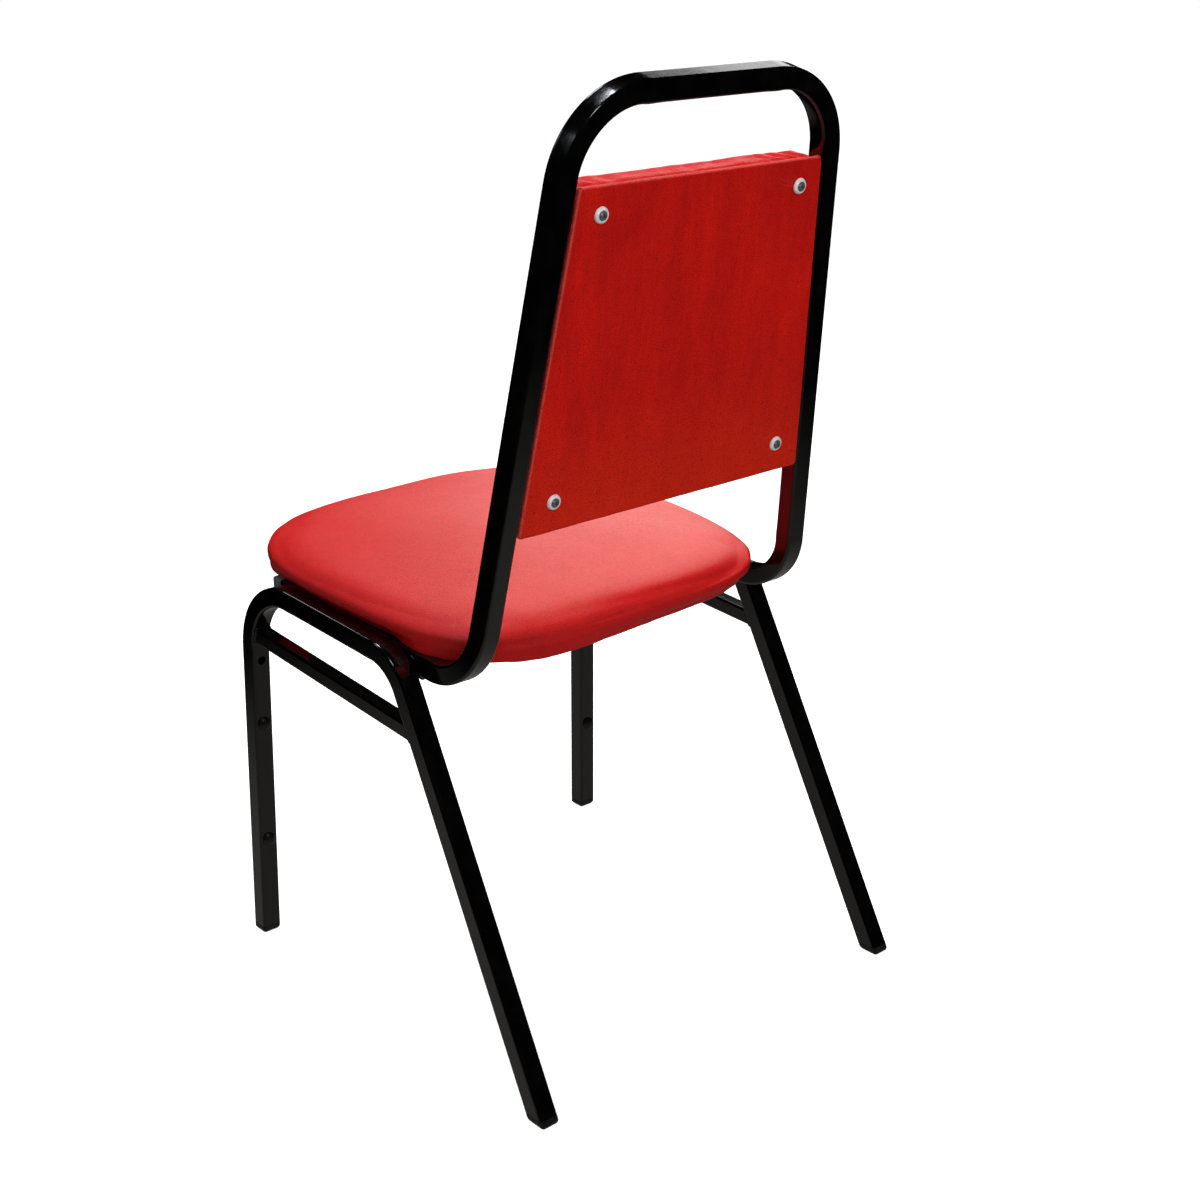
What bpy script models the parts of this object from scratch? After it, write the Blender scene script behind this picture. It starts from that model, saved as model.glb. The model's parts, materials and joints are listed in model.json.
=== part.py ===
"""Stacking chair: square-tube steel frame, padded seat and padded back.

Metres, +Z up. The chair faces -Y, its back rises towards +Y, and +X is the
sitter's left. The origin is on the floor, in the middle of the bounding box.
Every separate piece of the chair is one object.
"""

import math

import bmesh
import bpy
from mathutils import Matrix, Vector

for old in list(bpy.data.objects):
    bpy.data.objects.remove(old, do_unlink=True)

MM = 0.001
GAP = 0.3 * MM  # air left between pieces that touch

# ------------------------------------------------------------------ dimensions
Y_SHIFT = -20.344 * MM  # moves the middle of the bounding box to y = 0

# frame tube: 20 mm square, 1.2 mm wall, rounded corners
TUBE = 20.0 * MM
WALL = 1.2 * MM
CORNER = 2.7 * MM
BEND_SQUASH = 0.07  # share of its depth that the tube loses in a tight bend

# side leg frame: front foot, front bend, rear bend, rear foot
FOOT_X = 216.4 * MM
RAIL_X_FRONT = 209.7 * MM
RAIL_X_REAR = 210.7 * MM
FRONT_FOOT_Y = -186.3 * MM
REAR_FOOT_Y = 271.4 * MM
FRONT_TOP = (-167.3 * MM, 392.4 * MM)
REAR_TOP = (76.4 * MM, 379.1 * MM)
FRONT_BEND_R = 71.0 * MM
REAR_BEND_R = 54.2 * MM
TUBE_FOOT_Z = 8.0 * MM  # the steel stops here and the glide goes on

# lower side brace between the front and the rear leg
BRACE = 15.4 * MM
BRACE_CORNER = 2.2 * MM
BRACE_FRONT_Z = 337.1 * MM
BRACE_REAR_Z = 314.8 * MM

# back hoop: seat rail, lower bend, upright, arch and the same way down
RAIL_SLOPE = -0.0543
HOOP_RAIL_Z = 372.6 * MM  # centre of the seat rail at y = 100 mm
HOOP_RAIL_X_FRONT = 189.2 * MM

HOOP_END_Y = -134.0 * MM
PLUG_HEAD = 17.5 * MM  # how far the plug in the rail's end stands proud
HOOP_LOW = (190.7 * MM, 162.3 * MM, 368.8 * MM)
HOOP_TOP = (141.0 * MM, 252.6 * MM, 865.9 * MM)
HOOP_LOW_R = 62.0 * MM
ARCH_R = 73.8 * MM

# seat
SEAT_W_FRONT = 218.7 * MM
SEAT_W_REAR = 202.8 * MM
SEAT_Y_FRONT = -240.2 * MM
SEAT_Y_REAR = 170.0 * MM
SEAT_N_FRONT = 2.9
SEAT_N_REAR = 3.84
SEAT_THICK = 34.5 * MM
SEAT_CROWN = 12.0 * MM
SEAT_ROLL = 52.0 * MM
SEAT_BASE_Z = 382.9 * MM  # underside of the seat at y = 100 mm
SEAT_SLOPE = -0.0543
BOARD_THICK = 11.0 * MM
BOARD_INSET = 13.9 * MM
VINYL = 1.0 * MM
SEAT_SIDES = 48

# back: everything is measured up the hoop's plane (S) and out of it (D)
BACK_S_LOW = 136.6 * MM
BACK_S_TOP = 431.0 * MM
BACK_W_LOW = 165.4 * MM
BACK_W_TOP = 135.2 * MM
REAR_PANEL_D = 10.4 * MM
REAR_PANEL_THICK = 5.6 * MM
CUSHION_D = 4.4 * MM
CUSHION_WALL_D = -15.0 * MM
CUSHION_FACE_D = -27.0 * MM
CUSHION_CROWN = 5.0 * MM
CUSHION_ROLL = 30.0 * MM
BACK_BOARD_D = -6.0 * MM
SCREW_TOP = (111.4 * MM, 407.4 * MM)
SCREW_LOW = (131.6 * MM, 165.0 * MM)
TAB_THICK = 2.4 * MM
TAB_WIDE = 24.0 * MM
TAB_D = 4.2 * MM  # rear face of the tab

# small parts
BUMPER_R = 7.0 * MM
BUMPER_H = 5.4 * MM
BUMPER_STEM_R = 2.5 * MM
FRONT_BUMPERS_Z = (239.5 * MM, 109.5 * MM)
REAR_BUMPERS_Z = (214.5 * MM, 133.0 * MM)
DRAIN_Z = 308.0 * MM
DRAIN_R = 4.5 * MM
SEAT_SCREW_Y = (-98.0 * MM, 58.0 * MM)

# ---------------------------------------------------------------- collections
parts = bpy.data.collections.new("stacking_chair")
cutters = bpy.data.collections.new("cutters")
bpy.context.scene.collection.children.link(parts)
bpy.context.scene.collection.children.link(cutters)


def material(name, colour, roughness, metallic=0.0):
    mat = bpy.data.materials.new(name)
    mat.use_nodes = True
    shader = mat.node_tree.nodes["Principled BSDF"]
    shader.inputs["Base Color"].default_value = (*colour, 1.0)
    shader.inputs["Roughness"].default_value = roughness
    shader.inputs["Metallic"].default_value = metallic
    mat.diffuse_color = (*colour, 1.0)
    return mat


PAINT = ((0.012, 0.012, 0.013), 0.22, 0.0)
BRIGHT = ((0.72, 0.72, 0.74), 0.28, 1.0)
SEAT_RED = ((0.62, 0.03, 0.03), 0.38, 0.0)
PANEL_RED = ((0.36, 0.008, 0.006), 0.42, 0.0)
PLY = ((0.52, 0.34, 0.18), 0.7, 0.0)
FOAM = ((0.85, 0.78, 0.55), 0.95, 0.0)
CAMBRIC = ((0.02, 0.02, 0.02), 0.95, 0.0)
BLACK_PLASTIC = ((0.015, 0.015, 0.016), 0.35, 0.0)
GREY_PLASTIC = ((0.34, 0.38, 0.40), 0.4, 0.0)


def add_object(name, mesh, look, collection=parts):
    mesh.name = name
    obj = bpy.data.objects.new(name, mesh)
    if collection is cutters:
        obj.hide_render = True
        obj.display_type = "WIRE"
    else:
        mesh.materials.append(material(name, *look))
    collection.objects.link(obj)
    return obj


def smooth(mesh, degrees=35.0):
    mesh.shade_smooth()
    mesh.set_sharp_from_angle(angle=math.radians(degrees))


def turned_outward(bm):
    """Faces turned so that their normals point out of the form."""
    middle = Vector((0, 0, 0))
    for vert in bm.verts:
        middle += vert.co / len(bm.verts)
    total = 0.0
    for face in bm.faces:
        total += face.calc_area() * face.normal.dot(face.calc_center_median() - middle)
    if total < 0:
        bmesh.ops.reverse_faces(bm, faces=list(bm.faces))
        bm.normal_update()


def loft(rings, close_start=None, close_end=None, around=False):
    """A mesh through closed rings of points. Each end stays open, or is closed
    with one flat face ("flat") or with a fan to a point. With around, the last
    ring joins the first."""
    bm = bmesh.new()
    rows = [[bm.verts.new(point) for point in ring] for ring in rings]
    pairs = list(zip(rows, rows[1:]))
    if around:
        pairs.append((rows[-1], rows[0]))
    for low, high in pairs:
        count = len(low)
        for i in range(count):
            j = (i + 1) % count
            bm.faces.new((low[i], low[j], high[j], high[i]))
    for row, way, flip in ((rows[0], close_start, True), (rows[-1], close_end, False)):
        if way is None:
            continue
        order = list(reversed(row)) if flip else list(row)
        if way == "flat":
            bm.faces.new(order)
        else:
            tip = bm.verts.new(way)
            for i in range(len(order)):
                bm.faces.new((order[i], order[(i + 1) % len(order)], tip))
    bm.normal_update()
    turned_outward(bm)
    mesh = bpy.data.meshes.new("loft")
    bm.to_mesh(mesh)
    bm.free()
    return mesh


def shell(obj, thickness):
    """The open surface gets its thickness on the inside."""
    mod = obj.modifiers.new("Solidify", "SOLIDIFY")
    mod.thickness = thickness
    mod.offset = -1.0
    mod.use_even_offset = True
    mod.use_rim = True
    return mod


def cut(obj, cutter):
    mod = obj.modifiers.new("Cut " + cutter.name, "BOOLEAN")
    mod.operation = "DIFFERENCE"
    mod.solver = "EXACT"
    mod.object = cutter


def frame_matrix(origin, z_axis, x_hint):
    """Matrix that puts local +Z along z_axis and local +X near x_hint."""
    z_axis = z_axis.normalized()
    y_axis = z_axis.cross(x_hint).normalized()
    x_axis = y_axis.cross(z_axis).normalized()
    out = Matrix((x_axis, y_axis, z_axis)).transposed().to_4x4()
    out.translation = origin
    return out


def cylinders(name, placements, sides=14):
    """One cutter that holds a closed cylinder for each (matrix, radius, z0, z1)."""
    bm = bmesh.new()
    for matrix, radius, z0, z1 in placements:
        bmesh.ops.create_cone(
            bm,
            cap_ends=True,
            segments=sides,
            radius1=radius,
            radius2=radius,
            depth=z1 - z0,
            matrix=matrix @ Matrix.Translation((0, 0, (z0 + z1) / 2)),
        )
    mesh = bpy.data.meshes.new(name)
    bm.to_mesh(mesh)
    bm.free()
    return add_object(name, mesh, None, cutters)


def boxes(name, placements):
    """One cutter that holds a box for each (matrix, size)."""
    bm = bmesh.new()
    for matrix, size in placements:
        bmesh.ops.create_cube(bm, size=1.0, matrix=matrix @ Matrix.Diagonal((*size, 1.0)))
    mesh = bpy.data.meshes.new(name)
    bm.to_mesh(mesh)
    bm.free()
    return add_object(name, mesh, None, cutters)


def turned(name, profile, look, matrix, steps=14, collection=parts):
    """A turned piece: the profile runs from the top of the axis down the outside."""
    mesh = bpy.data.meshes.new(name)
    mesh.from_pydata(
        [(r, 0.0, z) for r, z in profile],
        [(i, i + 1) for i in range(len(profile) - 1)],
        [],
    )
    obj = add_object(name, mesh, look, collection)
    mod = obj.modifiers.new("Screw", "SCREW")
    mod.angle = 2 * math.pi
    mod.steps = steps
    mod.render_steps = steps
    mod.axis = "Z"
    mod.use_merge_vertices = True
    mod.merge_threshold = 0.00001
    mod.use_smooth_shade = True
    obj.matrix_world = matrix
    return obj


# ------------------------------------------------------------------ tube sweep
def rounded_square(side, radius, per_corner=3):
    half = side / 2 - radius
    points = []
    for k, (sx, sy) in enumerate(((1, 1), (-1, 1), (-1, -1), (1, -1))):
        for j in range(per_corner):
            angle = math.pi / 2 * (k + j / (per_corner - 1))
            points.append(
                (sx * half + radius * math.cos(angle), sy * half + radius * math.sin(angle))
            )
    return points


def bent_path(corners, radii, bend_steps):
    """Stations (point, tangent, bend) along straight runs and round bends.
    bend is 0 on a straight run and rises to 1 in the middle of a bend."""
    stations = [(corners[0], (corners[1] - corners[0]).normalized(), 0.0)]
    for i in range(1, len(corners) - 1):
        before, at, after = corners[i - 1], corners[i], corners[i + 1]
        u = (before - at).normalized()
        v = (after - at).normalized()
        between = u.angle(v)
        radius = radii[i - 1]
        reach = radius / math.tan(between / 2)
        start = at + u * reach
        centre = at + (u + v).normalized() * (radius / math.sin(between / 2))
        e1 = (start - centre).normalized()
        axis = e1.cross((at + v * reach) - centre).normalized()
        e2 = axis.cross(e1)
        turn = math.pi - between
        for j in range(bend_steps + 1):
            angle = turn * j / bend_steps
            point = centre + (e1 * math.cos(angle) + e2 * math.sin(angle)) * radius
            tangent = e2 * math.cos(angle) - e1 * math.sin(angle)
            stations.append((point, tangent, math.sin(math.pi * j / bend_steps) ** 0.7))
    stations.append((corners[-1], (corners[-1] - corners[-2]).normalized(), 0.0))
    return stations


def tube_rings(stations, side, radius, side_axis, start_plane=None, end_plane=None, squash=0.0):
    """Rings of a square tube. side_axis starts the direction of one pair of
    faces, and it is carried along the path without twist. A plane is
    (point, normal), and the end ring is slid along the tube onto it."""
    profile = rounded_square(side, radius)
    rings = []
    axis = side_axis - side_axis.dot(stations[0][1]) * stations[0][1]
    axis.normalize()
    previous = stations[0][1]
    for k, (point, tangent, bend) in enumerate(stations):
        axis = previous.rotation_difference(tangent) @ axis
        axis = (axis - axis.dot(tangent) * tangent).normalized()
        previous = tangent
        other = tangent.cross(axis).normalized()
        depth = 1.0 - squash * bend
        ring = []
        for a, b in profile:
            spot = point + axis * a + other * (b * depth)
            plane = start_plane if k == 0 else end_plane if k == len(stations) - 1 else None
            if plane is not None:
                slide = (plane[0] - spot).dot(plane[1]) / tangent.dot(plane[1])
                spot = spot + tangent * slide
            ring.append(spot)
        rings.append(ring)
    return rings


def hollow_tube(stations, side, radius, side_axis, start_plane, end_plane, squash=0.0):
    """A tube with a wall: its outside one way and its inside back again."""
    outer = tube_rings(stations, side, radius, side_axis, start_plane, end_plane, squash)
    inner = tube_rings(
        stations, side - 2 * WALL, radius - WALL, side_axis, start_plane, end_plane, squash
    )
    return loft(outer + list(reversed(inner)), around=True)


def V(x, y, z):
    return Vector((x, y + Y_SHIFT, z))


X_AXIS = Vector((1, 0, 0))
UP = Vector((0, 0, 1))


# ------------------------------------------------------------------ leg frames
def leg_corners(side):
    return [
        V(side * FOOT_X, FRONT_FOOT_Y, 0),
        V(side * RAIL_X_FRONT, *FRONT_TOP),
        V(side * RAIL_X_REAR, *REAR_TOP),
        V(side * FOOT_X, REAR_FOOT_Y, 0),
    ]


def leg_axis(side, front):
    """Foot point and unit direction up the leg."""
    a, b, c, d = leg_corners(side)
    foot, top = (a, b) if front else (d, c)
    return foot, (top - foot).normalized()


def leg_point(side, front, z):
    foot, way = leg_axis(side, front)
    return foot + way * (z / way.z)


def inner_normal(side, front):
    """Outward normal of the leg face that looks along the chair's depth,
    backwards on a front leg and forwards on a rear leg."""
    way = leg_axis(side, front)[1]
    normal = way.cross(X_AXIS).normalized()
    if (normal.y < 0) == front:
        normal = -normal
    return normal


def leg_frame(name, side):
    floor_plane = (V(0, 0, TUBE_FOOT_Z), UP)
    stations = bent_path(leg_corners(side), (FRONT_BEND_R, REAR_BEND_R), 10)
    mesh = hollow_tube(
        stations, TUBE, CORNER, X_AXIS, floor_plane, floor_plane, BEND_SQUASH * 0.6
    )
    smooth(mesh, 50)
    obj = add_object(name, mesh, PAINT)
    holes = []
    for front, heights in ((True, FRONT_BUMPERS_Z), (False, REAR_BUMPERS_Z)):
        normal = inner_normal(side, front)
        for z in heights:
            spot = leg_point(side, front, z) + normal * (TUBE / 2)
            matrix = frame_matrix(spot, normal, X_AXIS)
            holes.append((matrix, BUMPER_STEM_R + GAP, -4 * MM, 3 * MM))
    normal = inner_normal(side, True)
    spot = leg_point(side, True, DRAIN_Z) + normal * (TUBE / 2)
    holes.append((frame_matrix(spot, normal, X_AXIS), DRAIN_R, -4 * MM, 3 * MM))
    cut(obj, cylinders(name + "_holes", holes, 10))
    return obj


def foot_glide(name, side, front):
    """Cap with a flat foot, plugged into the open end of the leg."""
    foot, way = leg_axis(side, front)

    def ring(z, inset, inner=False):
        size = TUBE - 2 * inset
        radius = max(CORNER - inset, 0.8 * MM)
        if inner:
            size = TUBE - 2 * WALL - 2 * GAP
            radius = 1.2 * MM
        stations = [(foot - way * 0.02, way, 0.0), (foot + way * 0.05, way, 0.0)]
        plane = (V(0, 0, z), UP)
        return tube_rings(stations, size, radius, X_AXIS, start_plane=plane)[0]

    top = TUBE_FOOT_Z - GAP
    rings = [
        ring(0.0, 4.2 * MM),
        ring(0.5 * MM, 2.2 * MM),
        ring(1.9 * MM, 0.7 * MM),
        ring(4.0 * MM, 0.0),
        ring(top, 0.0),
        ring(top, 0.0, inner=True),
        ring(top + 14 * MM, 0.0, inner=True),
    ]
    mesh = loft(rings, "flat", "flat")
    smooth(mesh, 40)
    return add_object(name, mesh, BLACK_PLASTIC)


def inner_face_point(side, front, z):
    """Point of the leg's inner face at a height, also where the leg bends."""
    stations = bent_path(leg_corners(side), (FRONT_BEND_R, REAR_BEND_R), 10)
    stations = stations[: len(stations) // 2] if front else stations[len(stations) // 2 :]
    spots = []
    for point, tangent, bend in stations:
        normal = tangent.cross(X_AXIS).normalized()
        if normal.z > 0 or (abs(normal.z) < 0.2 and (normal.y < 0) == front):
            normal = -normal
        if (normal.y < 0) == front and abs(normal.y) > 0.3:
            normal = -normal
        depth = 1.0 - BEND_SQUASH * 0.6 * bend
        spots.append(point + normal * (TUBE / 2 * depth))
    spots.sort(key=lambda spot: spot.z)
    for low, high in zip(spots, spots[1:]):
        if low.z <= z <= high.z:
            return low.lerp(high, (z - low.z) / (high.z - low.z))
    return spots[-1]


def side_brace(name, side):
    """Straight square tube that meets the two legs on their inner faces."""
    ends = []
    for front, z in ((True, BRACE_FRONT_Z), (False, BRACE_REAR_Z)):
        centre = leg_point(side, front, z)
        low = inner_face_point(side, front, z - BRACE * 0.6)
        high = inner_face_point(side, front, z + BRACE * 0.6)
        normal = (high - low).cross(X_AXIS).normalized()
        if (normal.y < 0) == front:
            normal = -normal
        ends.append((centre, (low + normal * GAP, normal)))
    way = (ends[1][0] - ends[0][0]).normalized()
    stations = [(ends[0][0], way, 0.0), (ends[1][0], way, 0.0)]
    mesh = hollow_tube(stations, BRACE, BRACE_CORNER, X_AXIS, ends[0][1], ends[1][1])
    smooth(mesh, 50)
    return add_object(name, mesh, PAINT)


def stack_bumper(name, side, front, z):
    normal = inner_normal(side, front)
    spot = leg_point(side, front, z) + normal * (TUBE / 2 + GAP)
    profile = [
        (0, BUMPER_H),
        (BUMPER_R * 0.42, BUMPER_H * 0.96),
        (BUMPER_R * 0.76, BUMPER_H * 0.78),
        (BUMPER_R * 0.95, BUMPER_H * 0.45),
        (BUMPER_R, 0.0),
        (BUMPER_STEM_R, 0.0),
        (BUMPER_STEM_R, -5.0 * MM),
        (BUMPER_STEM_R * 0.6, -6.0 * MM),
        (0, -6.0 * MM),
    ]
    return turned(name, profile, BLACK_PLASTIC, frame_matrix(spot, normal, X_AXIS), 10)


SIDES = (("left", 1), ("right", -1))
for word, side in SIDES:
    leg_frame("leg_frame_" + word, side)
    side_brace("side_brace_" + word, side)
    for end, front, heights in (
        ("front", True, FRONT_BUMPERS_Z),
        ("rear", False, REAR_BUMPERS_Z),
    ):
        foot_glide(f"foot_glide_{end}_{word}", side, front)
        for level, z in zip(("upper", "lower"), heights):
            stack_bumper(f"stack_bumper_{end}_{word}_{level}", side, front, z)


# ------------------------------------------------------------------- back hoop
def hoop_rail_z(y):
    return HOOP_RAIL_Z + RAIL_SLOPE * (y - 100 * MM)


def hoop_rail_x(y):
    t = (y - HOOP_END_Y) / (HOOP_LOW[1] - HOOP_END_Y)
    return HOOP_RAIL_X_FRONT + (HOOP_LOW[0] - HOOP_RAIL_X_FRONT) * t


def hoop_corners():
    left = [
        V(HOOP_RAIL_X_FRONT, HOOP_END_Y, hoop_rail_z(HOOP_END_Y)),
        V(HOOP_LOW[0], HOOP_LOW[1], hoop_rail_z(HOOP_LOW[1])),
        V(*HOOP_TOP),
    ]
    return left + [Vector((-p.x, p.y, p.z)) for p in reversed(left)]


def hoop_end_plane(side, push=0.0):
    """The seat rail's front end is cut square across."""
    at = V(side * HOOP_RAIL_X_FRONT, HOOP_END_Y - push, hoop_rail_z(HOOP_END_Y - push))
    return at, Vector((0, -1, 0))


hoop_mesh = hollow_tube(
    bent_path(hoop_corners(), (HOOP_LOW_R, ARCH_R, ARCH_R, HOOP_LOW_R), 10),
    TUBE,
    CORNER,
    X_AXIS,
    hoop_end_plane(1),
    hoop_end_plane(-1),
    BEND_SQUASH,
)
smooth(hoop_mesh, 50)
hoop = add_object("back_hoop", hoop_mesh, PAINT)

rail_normal = Vector((0, -RAIL_SLOPE, 1)).normalized()
seat_screw_frames = []
for word, side in SIDES:
    for end, y in zip(("front", "rear"), SEAT_SCREW_Y):
        spot = V(side * hoop_rail_x(y), y, hoop_rail_z(y))
        seat_screw_frames.append(
            (f"seat_screw_{end}_{word}", frame_matrix(spot, rail_normal, X_AXIS))
        )
cut(
    hoop,
    cylinders(
        "back_hoop_screw_holes",
        [(m, 2.5 * MM, -14 * MM, 14 * MM) for name, m in seat_screw_frames],
        12,
    ),
)


def rail_end_plug(name, side):
    at = V(side * HOOP_RAIL_X_FRONT, HOOP_END_Y, hoop_rail_z(HOOP_END_Y))
    corners = hoop_corners()
    way = (corners[0] - corners[1]).normalized() if side > 0 else (
        corners[-1] - corners[-2]
    ).normalized()

    def ring(push, inset, inner=False):
        size = TUBE - 2 * inset
        radius = max(CORNER - inset, 0.8 * MM)
        if inner:
            size = TUBE - 2 * WALL - 2 * GAP
            radius = 1.2 * MM
        stations = [(at, way, 0.0), (at + way * 0.05, way, 0.0)]
        point, normal = hoop_end_plane(side, push)
        return tube_rings(stations, size, radius, X_AXIS, start_plane=(point, normal))[0]

    rings = [
        ring(-15 * MM, 0, inner=True),
        ring(GAP * 1.4, 0, inner=True),
        ring(GAP * 1.4, 0.2 * MM),
        ring(PLUG_HEAD - 5.0 * MM, 0.4 * MM),
        ring(PLUG_HEAD - 1.8 * MM, 1.8 * MM),
        ring(PLUG_HEAD, 5.0 * MM),
    ]
    mesh = loft(rings, "flat", "flat")
    smooth(mesh, 40)
    return add_object(name, mesh, GREY_PLASTIC)


for word, side in SIDES:
    rail_end_plug("rail_end_plug_" + word, side)


# ------------------------------------------------------------------------ seat
def signed_power(value, power):
    return math.copysign(abs(value) ** power, value)


def seat_outline(inset, theta, scale=1.0):
    """Point of the seat's plan, a rounded trapezium with bowed edges."""
    c, s = math.cos(theta), math.sin(theta)
    n = SEAT_N_REAR if s > 0 else SEAT_N_FRONT
    u = signed_power(c, 2 / n)
    v = signed_power(s, 2 / n)
    middle = (SEAT_Y_FRONT + SEAT_Y_REAR) / 2
    half = (SEAT_Y_REAR - SEAT_Y_FRONT) / 2
    width = (SEAT_W_FRONT + SEAT_W_REAR) / 2 + (SEAT_W_REAR - SEAT_W_FRONT) / 2 * v
    width -= 1.9 * MM * (1 - v * v)
    return u * (width - inset) * scale, middle + v * (half - inset) * scale


def even_thetas(count, dense=1440):
    """Parameters that space the outline's points evenly along it."""
    raw = [2 * math.pi * (i + 0.5) / dense for i in range(dense + 1)]
    spots = [seat_outline(0, t) for t in raw]
    run = [0.0]
    for a, b in zip(spots, spots[1:]):
        run.append(run[-1] + math.dist(a, b))
    out = []
    k = 0
    for i in range(count):
        want = run[-1] * (i + 0.5) / count
        while run[k + 1] < want:
            k += 1
        share = (want - run[k]) / (run[k + 1] - run[k])
        out.append(raw[k] + (raw[k + 1] - raw[k]) * share)
    return out


THETAS = even_thetas(SEAT_SIDES)


def seat_ring(inset, height, scale=1.0):
    ring = []
    for theta in THETAS:
        x, y = seat_outline(inset, theta, scale)
        ring.append(V(x, y, SEAT_BASE_Z + SEAT_SLOPE * (y - 100 * MM) + height))
    return ring


def seat_top(inset_extra, top):
    """Rings over the rolled edge and the crown, and the crown's middle."""
    rings = []
    bulge = 17.0 * MM
    for k in range(1, 6):
        angle = math.pi / 2 * k / 5
        rings.append(
            seat_ring(
                inset_extra + SEAT_ROLL * (1 - math.cos(angle)),
                bulge + (top - bulge) * math.sin(angle),
            )
        )
    for k in (0.25, 0.5, 0.75):
        rings.append(
            seat_ring(inset_extra + SEAT_ROLL, top + SEAT_CROWN * (1 - (1 - k) ** 2), 1 - k)
        )
    y = (SEAT_Y_FRONT + SEAT_Y_REAR) / 2
    tip = V(0, y, SEAT_BASE_Z + SEAT_SLOPE * (y - 100 * MM) + top + SEAT_CROWN)
    return rings, tip


crown_rings, crown_tip = seat_top(0.0, SEAT_THICK)
cover_rings = [
    seat_ring(36.0 * MM, 0.0),
    seat_ring(12.4 * MM, 0.0),
    seat_ring(10.8 * MM, 3.0 * MM),
    seat_ring(9.6 * MM, 6.6 * MM),
    seat_ring(3.6 * MM, 10.0 * MM),
    seat_ring(0.6 * MM, 13.4 * MM),
    seat_ring(0.0, 17.0 * MM),
] + crown_rings
seat_cover_mesh = loft(cover_rings, None, crown_tip)
smooth(seat_cover_mesh, 60)
seat_cover = add_object("seat_cover", seat_cover_mesh, SEAT_RED)
shell(seat_cover, VINYL)

foam_extra = VINYL + 2 * GAP
foam_crown, foam_tip = seat_top(foam_extra, SEAT_THICK - foam_extra)
board_low = VINYL + GAP
board_high = board_low + BOARD_THICK
seat_foam_mesh = loft(
    [
        seat_ring(5.0 * MM, board_high + GAP),
        seat_ring(2.4 * MM, board_high + 2.4 * MM),
        seat_ring(foam_extra, 17.4 * MM),
    ]
    + foam_crown,
    "flat",
    foam_tip,
)
smooth(seat_foam_mesh, 60)
add_object("seat_foam", seat_foam_mesh, FOAM)

seat_board_mesh = loft(
    [
        seat_ring(BOARD_INSET + 0.8 * MM, board_low),
        seat_ring(BOARD_INSET, board_low + 1.5 * MM),
        seat_ring(BOARD_INSET, board_high - 1.5 * MM),
        seat_ring(BOARD_INSET + 0.8 * MM, board_high),
    ],
    "flat",
    "flat",
)
smooth(seat_board_mesh)
seat_board = add_object("seat_board", seat_board_mesh, PLY)

dust_mesh = loft(
    [seat_ring(37.2 * MM, 0.0), seat_ring(37.2 * MM, VINYL - 0.1 * MM)], "flat", "flat"
)
add_object("seat_dust_cover", dust_mesh, CAMBRIC)

screw_holes = cylinders(
    "seat_screw_holes", [(m, 2.4 * MM, 0.0, 24.2 * MM) for name, m in seat_screw_frames], 12
)
cut(seat_board, screw_holes)
cut(seat_cover, screw_holes)


# ----------------------------------------------------------------------- screws
def cross_recess(name, matrix, reach, width, low, high):
    """Cutter for the cross slot of a screw head, a prism between two heights."""
    rings = []
    for z, share in ((low, 0.55), (high, 1.0)):
        r, w = reach * share, width / 2
        ring = []
        for k in range(4):
            c, s = math.cos(math.pi / 2 * k), math.sin(math.pi / 2 * k)
            for x, y in ((w, -w), (r, -w), (r, w)):
                ring.append(matrix @ Vector((x * c - y * s, x * s + y * c, z)))
        rings.append(ring)
    return add_object(name, loft(rings, "flat", "flat"), None, cutters)


def screw(name, matrix, head, shank_radius, length, look=BRIGHT):
    """head is the profile from the axis down to the shank, z = 0 under it."""
    profile = list(head) + [
        (shank_radius, -length * 0.72),
        (0, -length),
    ]
    return turned(name, profile, look, matrix, 12)


PAN_HEAD = [
    (0, 2.9 * MM),
    (2.2 * MM, 2.7 * MM),
    (3.7 * MM, 1.9 * MM),
    (4.2 * MM, 0.8 * MM),
    (4.2 * MM, 0.0),
    (2.1 * MM, 0.0),
]
for name, matrix in seat_screw_frames:
    under = matrix @ Matrix.Translation((0, 0, -TUBE / 2 - GAP)) @ Matrix.Rotation(
        math.pi, 4, "X"
    )
    screw(name, under, PAN_HEAD, 2.1 * MM, 31.0 * MM)


# ------------------------------------------------------------------------ back
back_low = V(0, HOOP_LOW[1], hoop_rail_z(HOOP_LOW[1]))
back_up = (V(0, HOOP_TOP[1], HOOP_TOP[2]) - back_low).normalized()
back_out = back_up.cross(X_AXIS).normalized()
if back_out.y < 0:
    back_out = -back_out
# S is counted from the point of the hoop's plane at this height
back_zero = back_low + back_up * ((373.3 * MM - back_low.z) / back_up.z)


def B(x, s, d):
    return back_zero + X_AXIS * x + back_up * s + back_out * d


def back_matrix(x, s, d, outward=True):
    return frame_matrix(B(x, s, d), back_out if outward else -back_out, X_AXIS)


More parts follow.
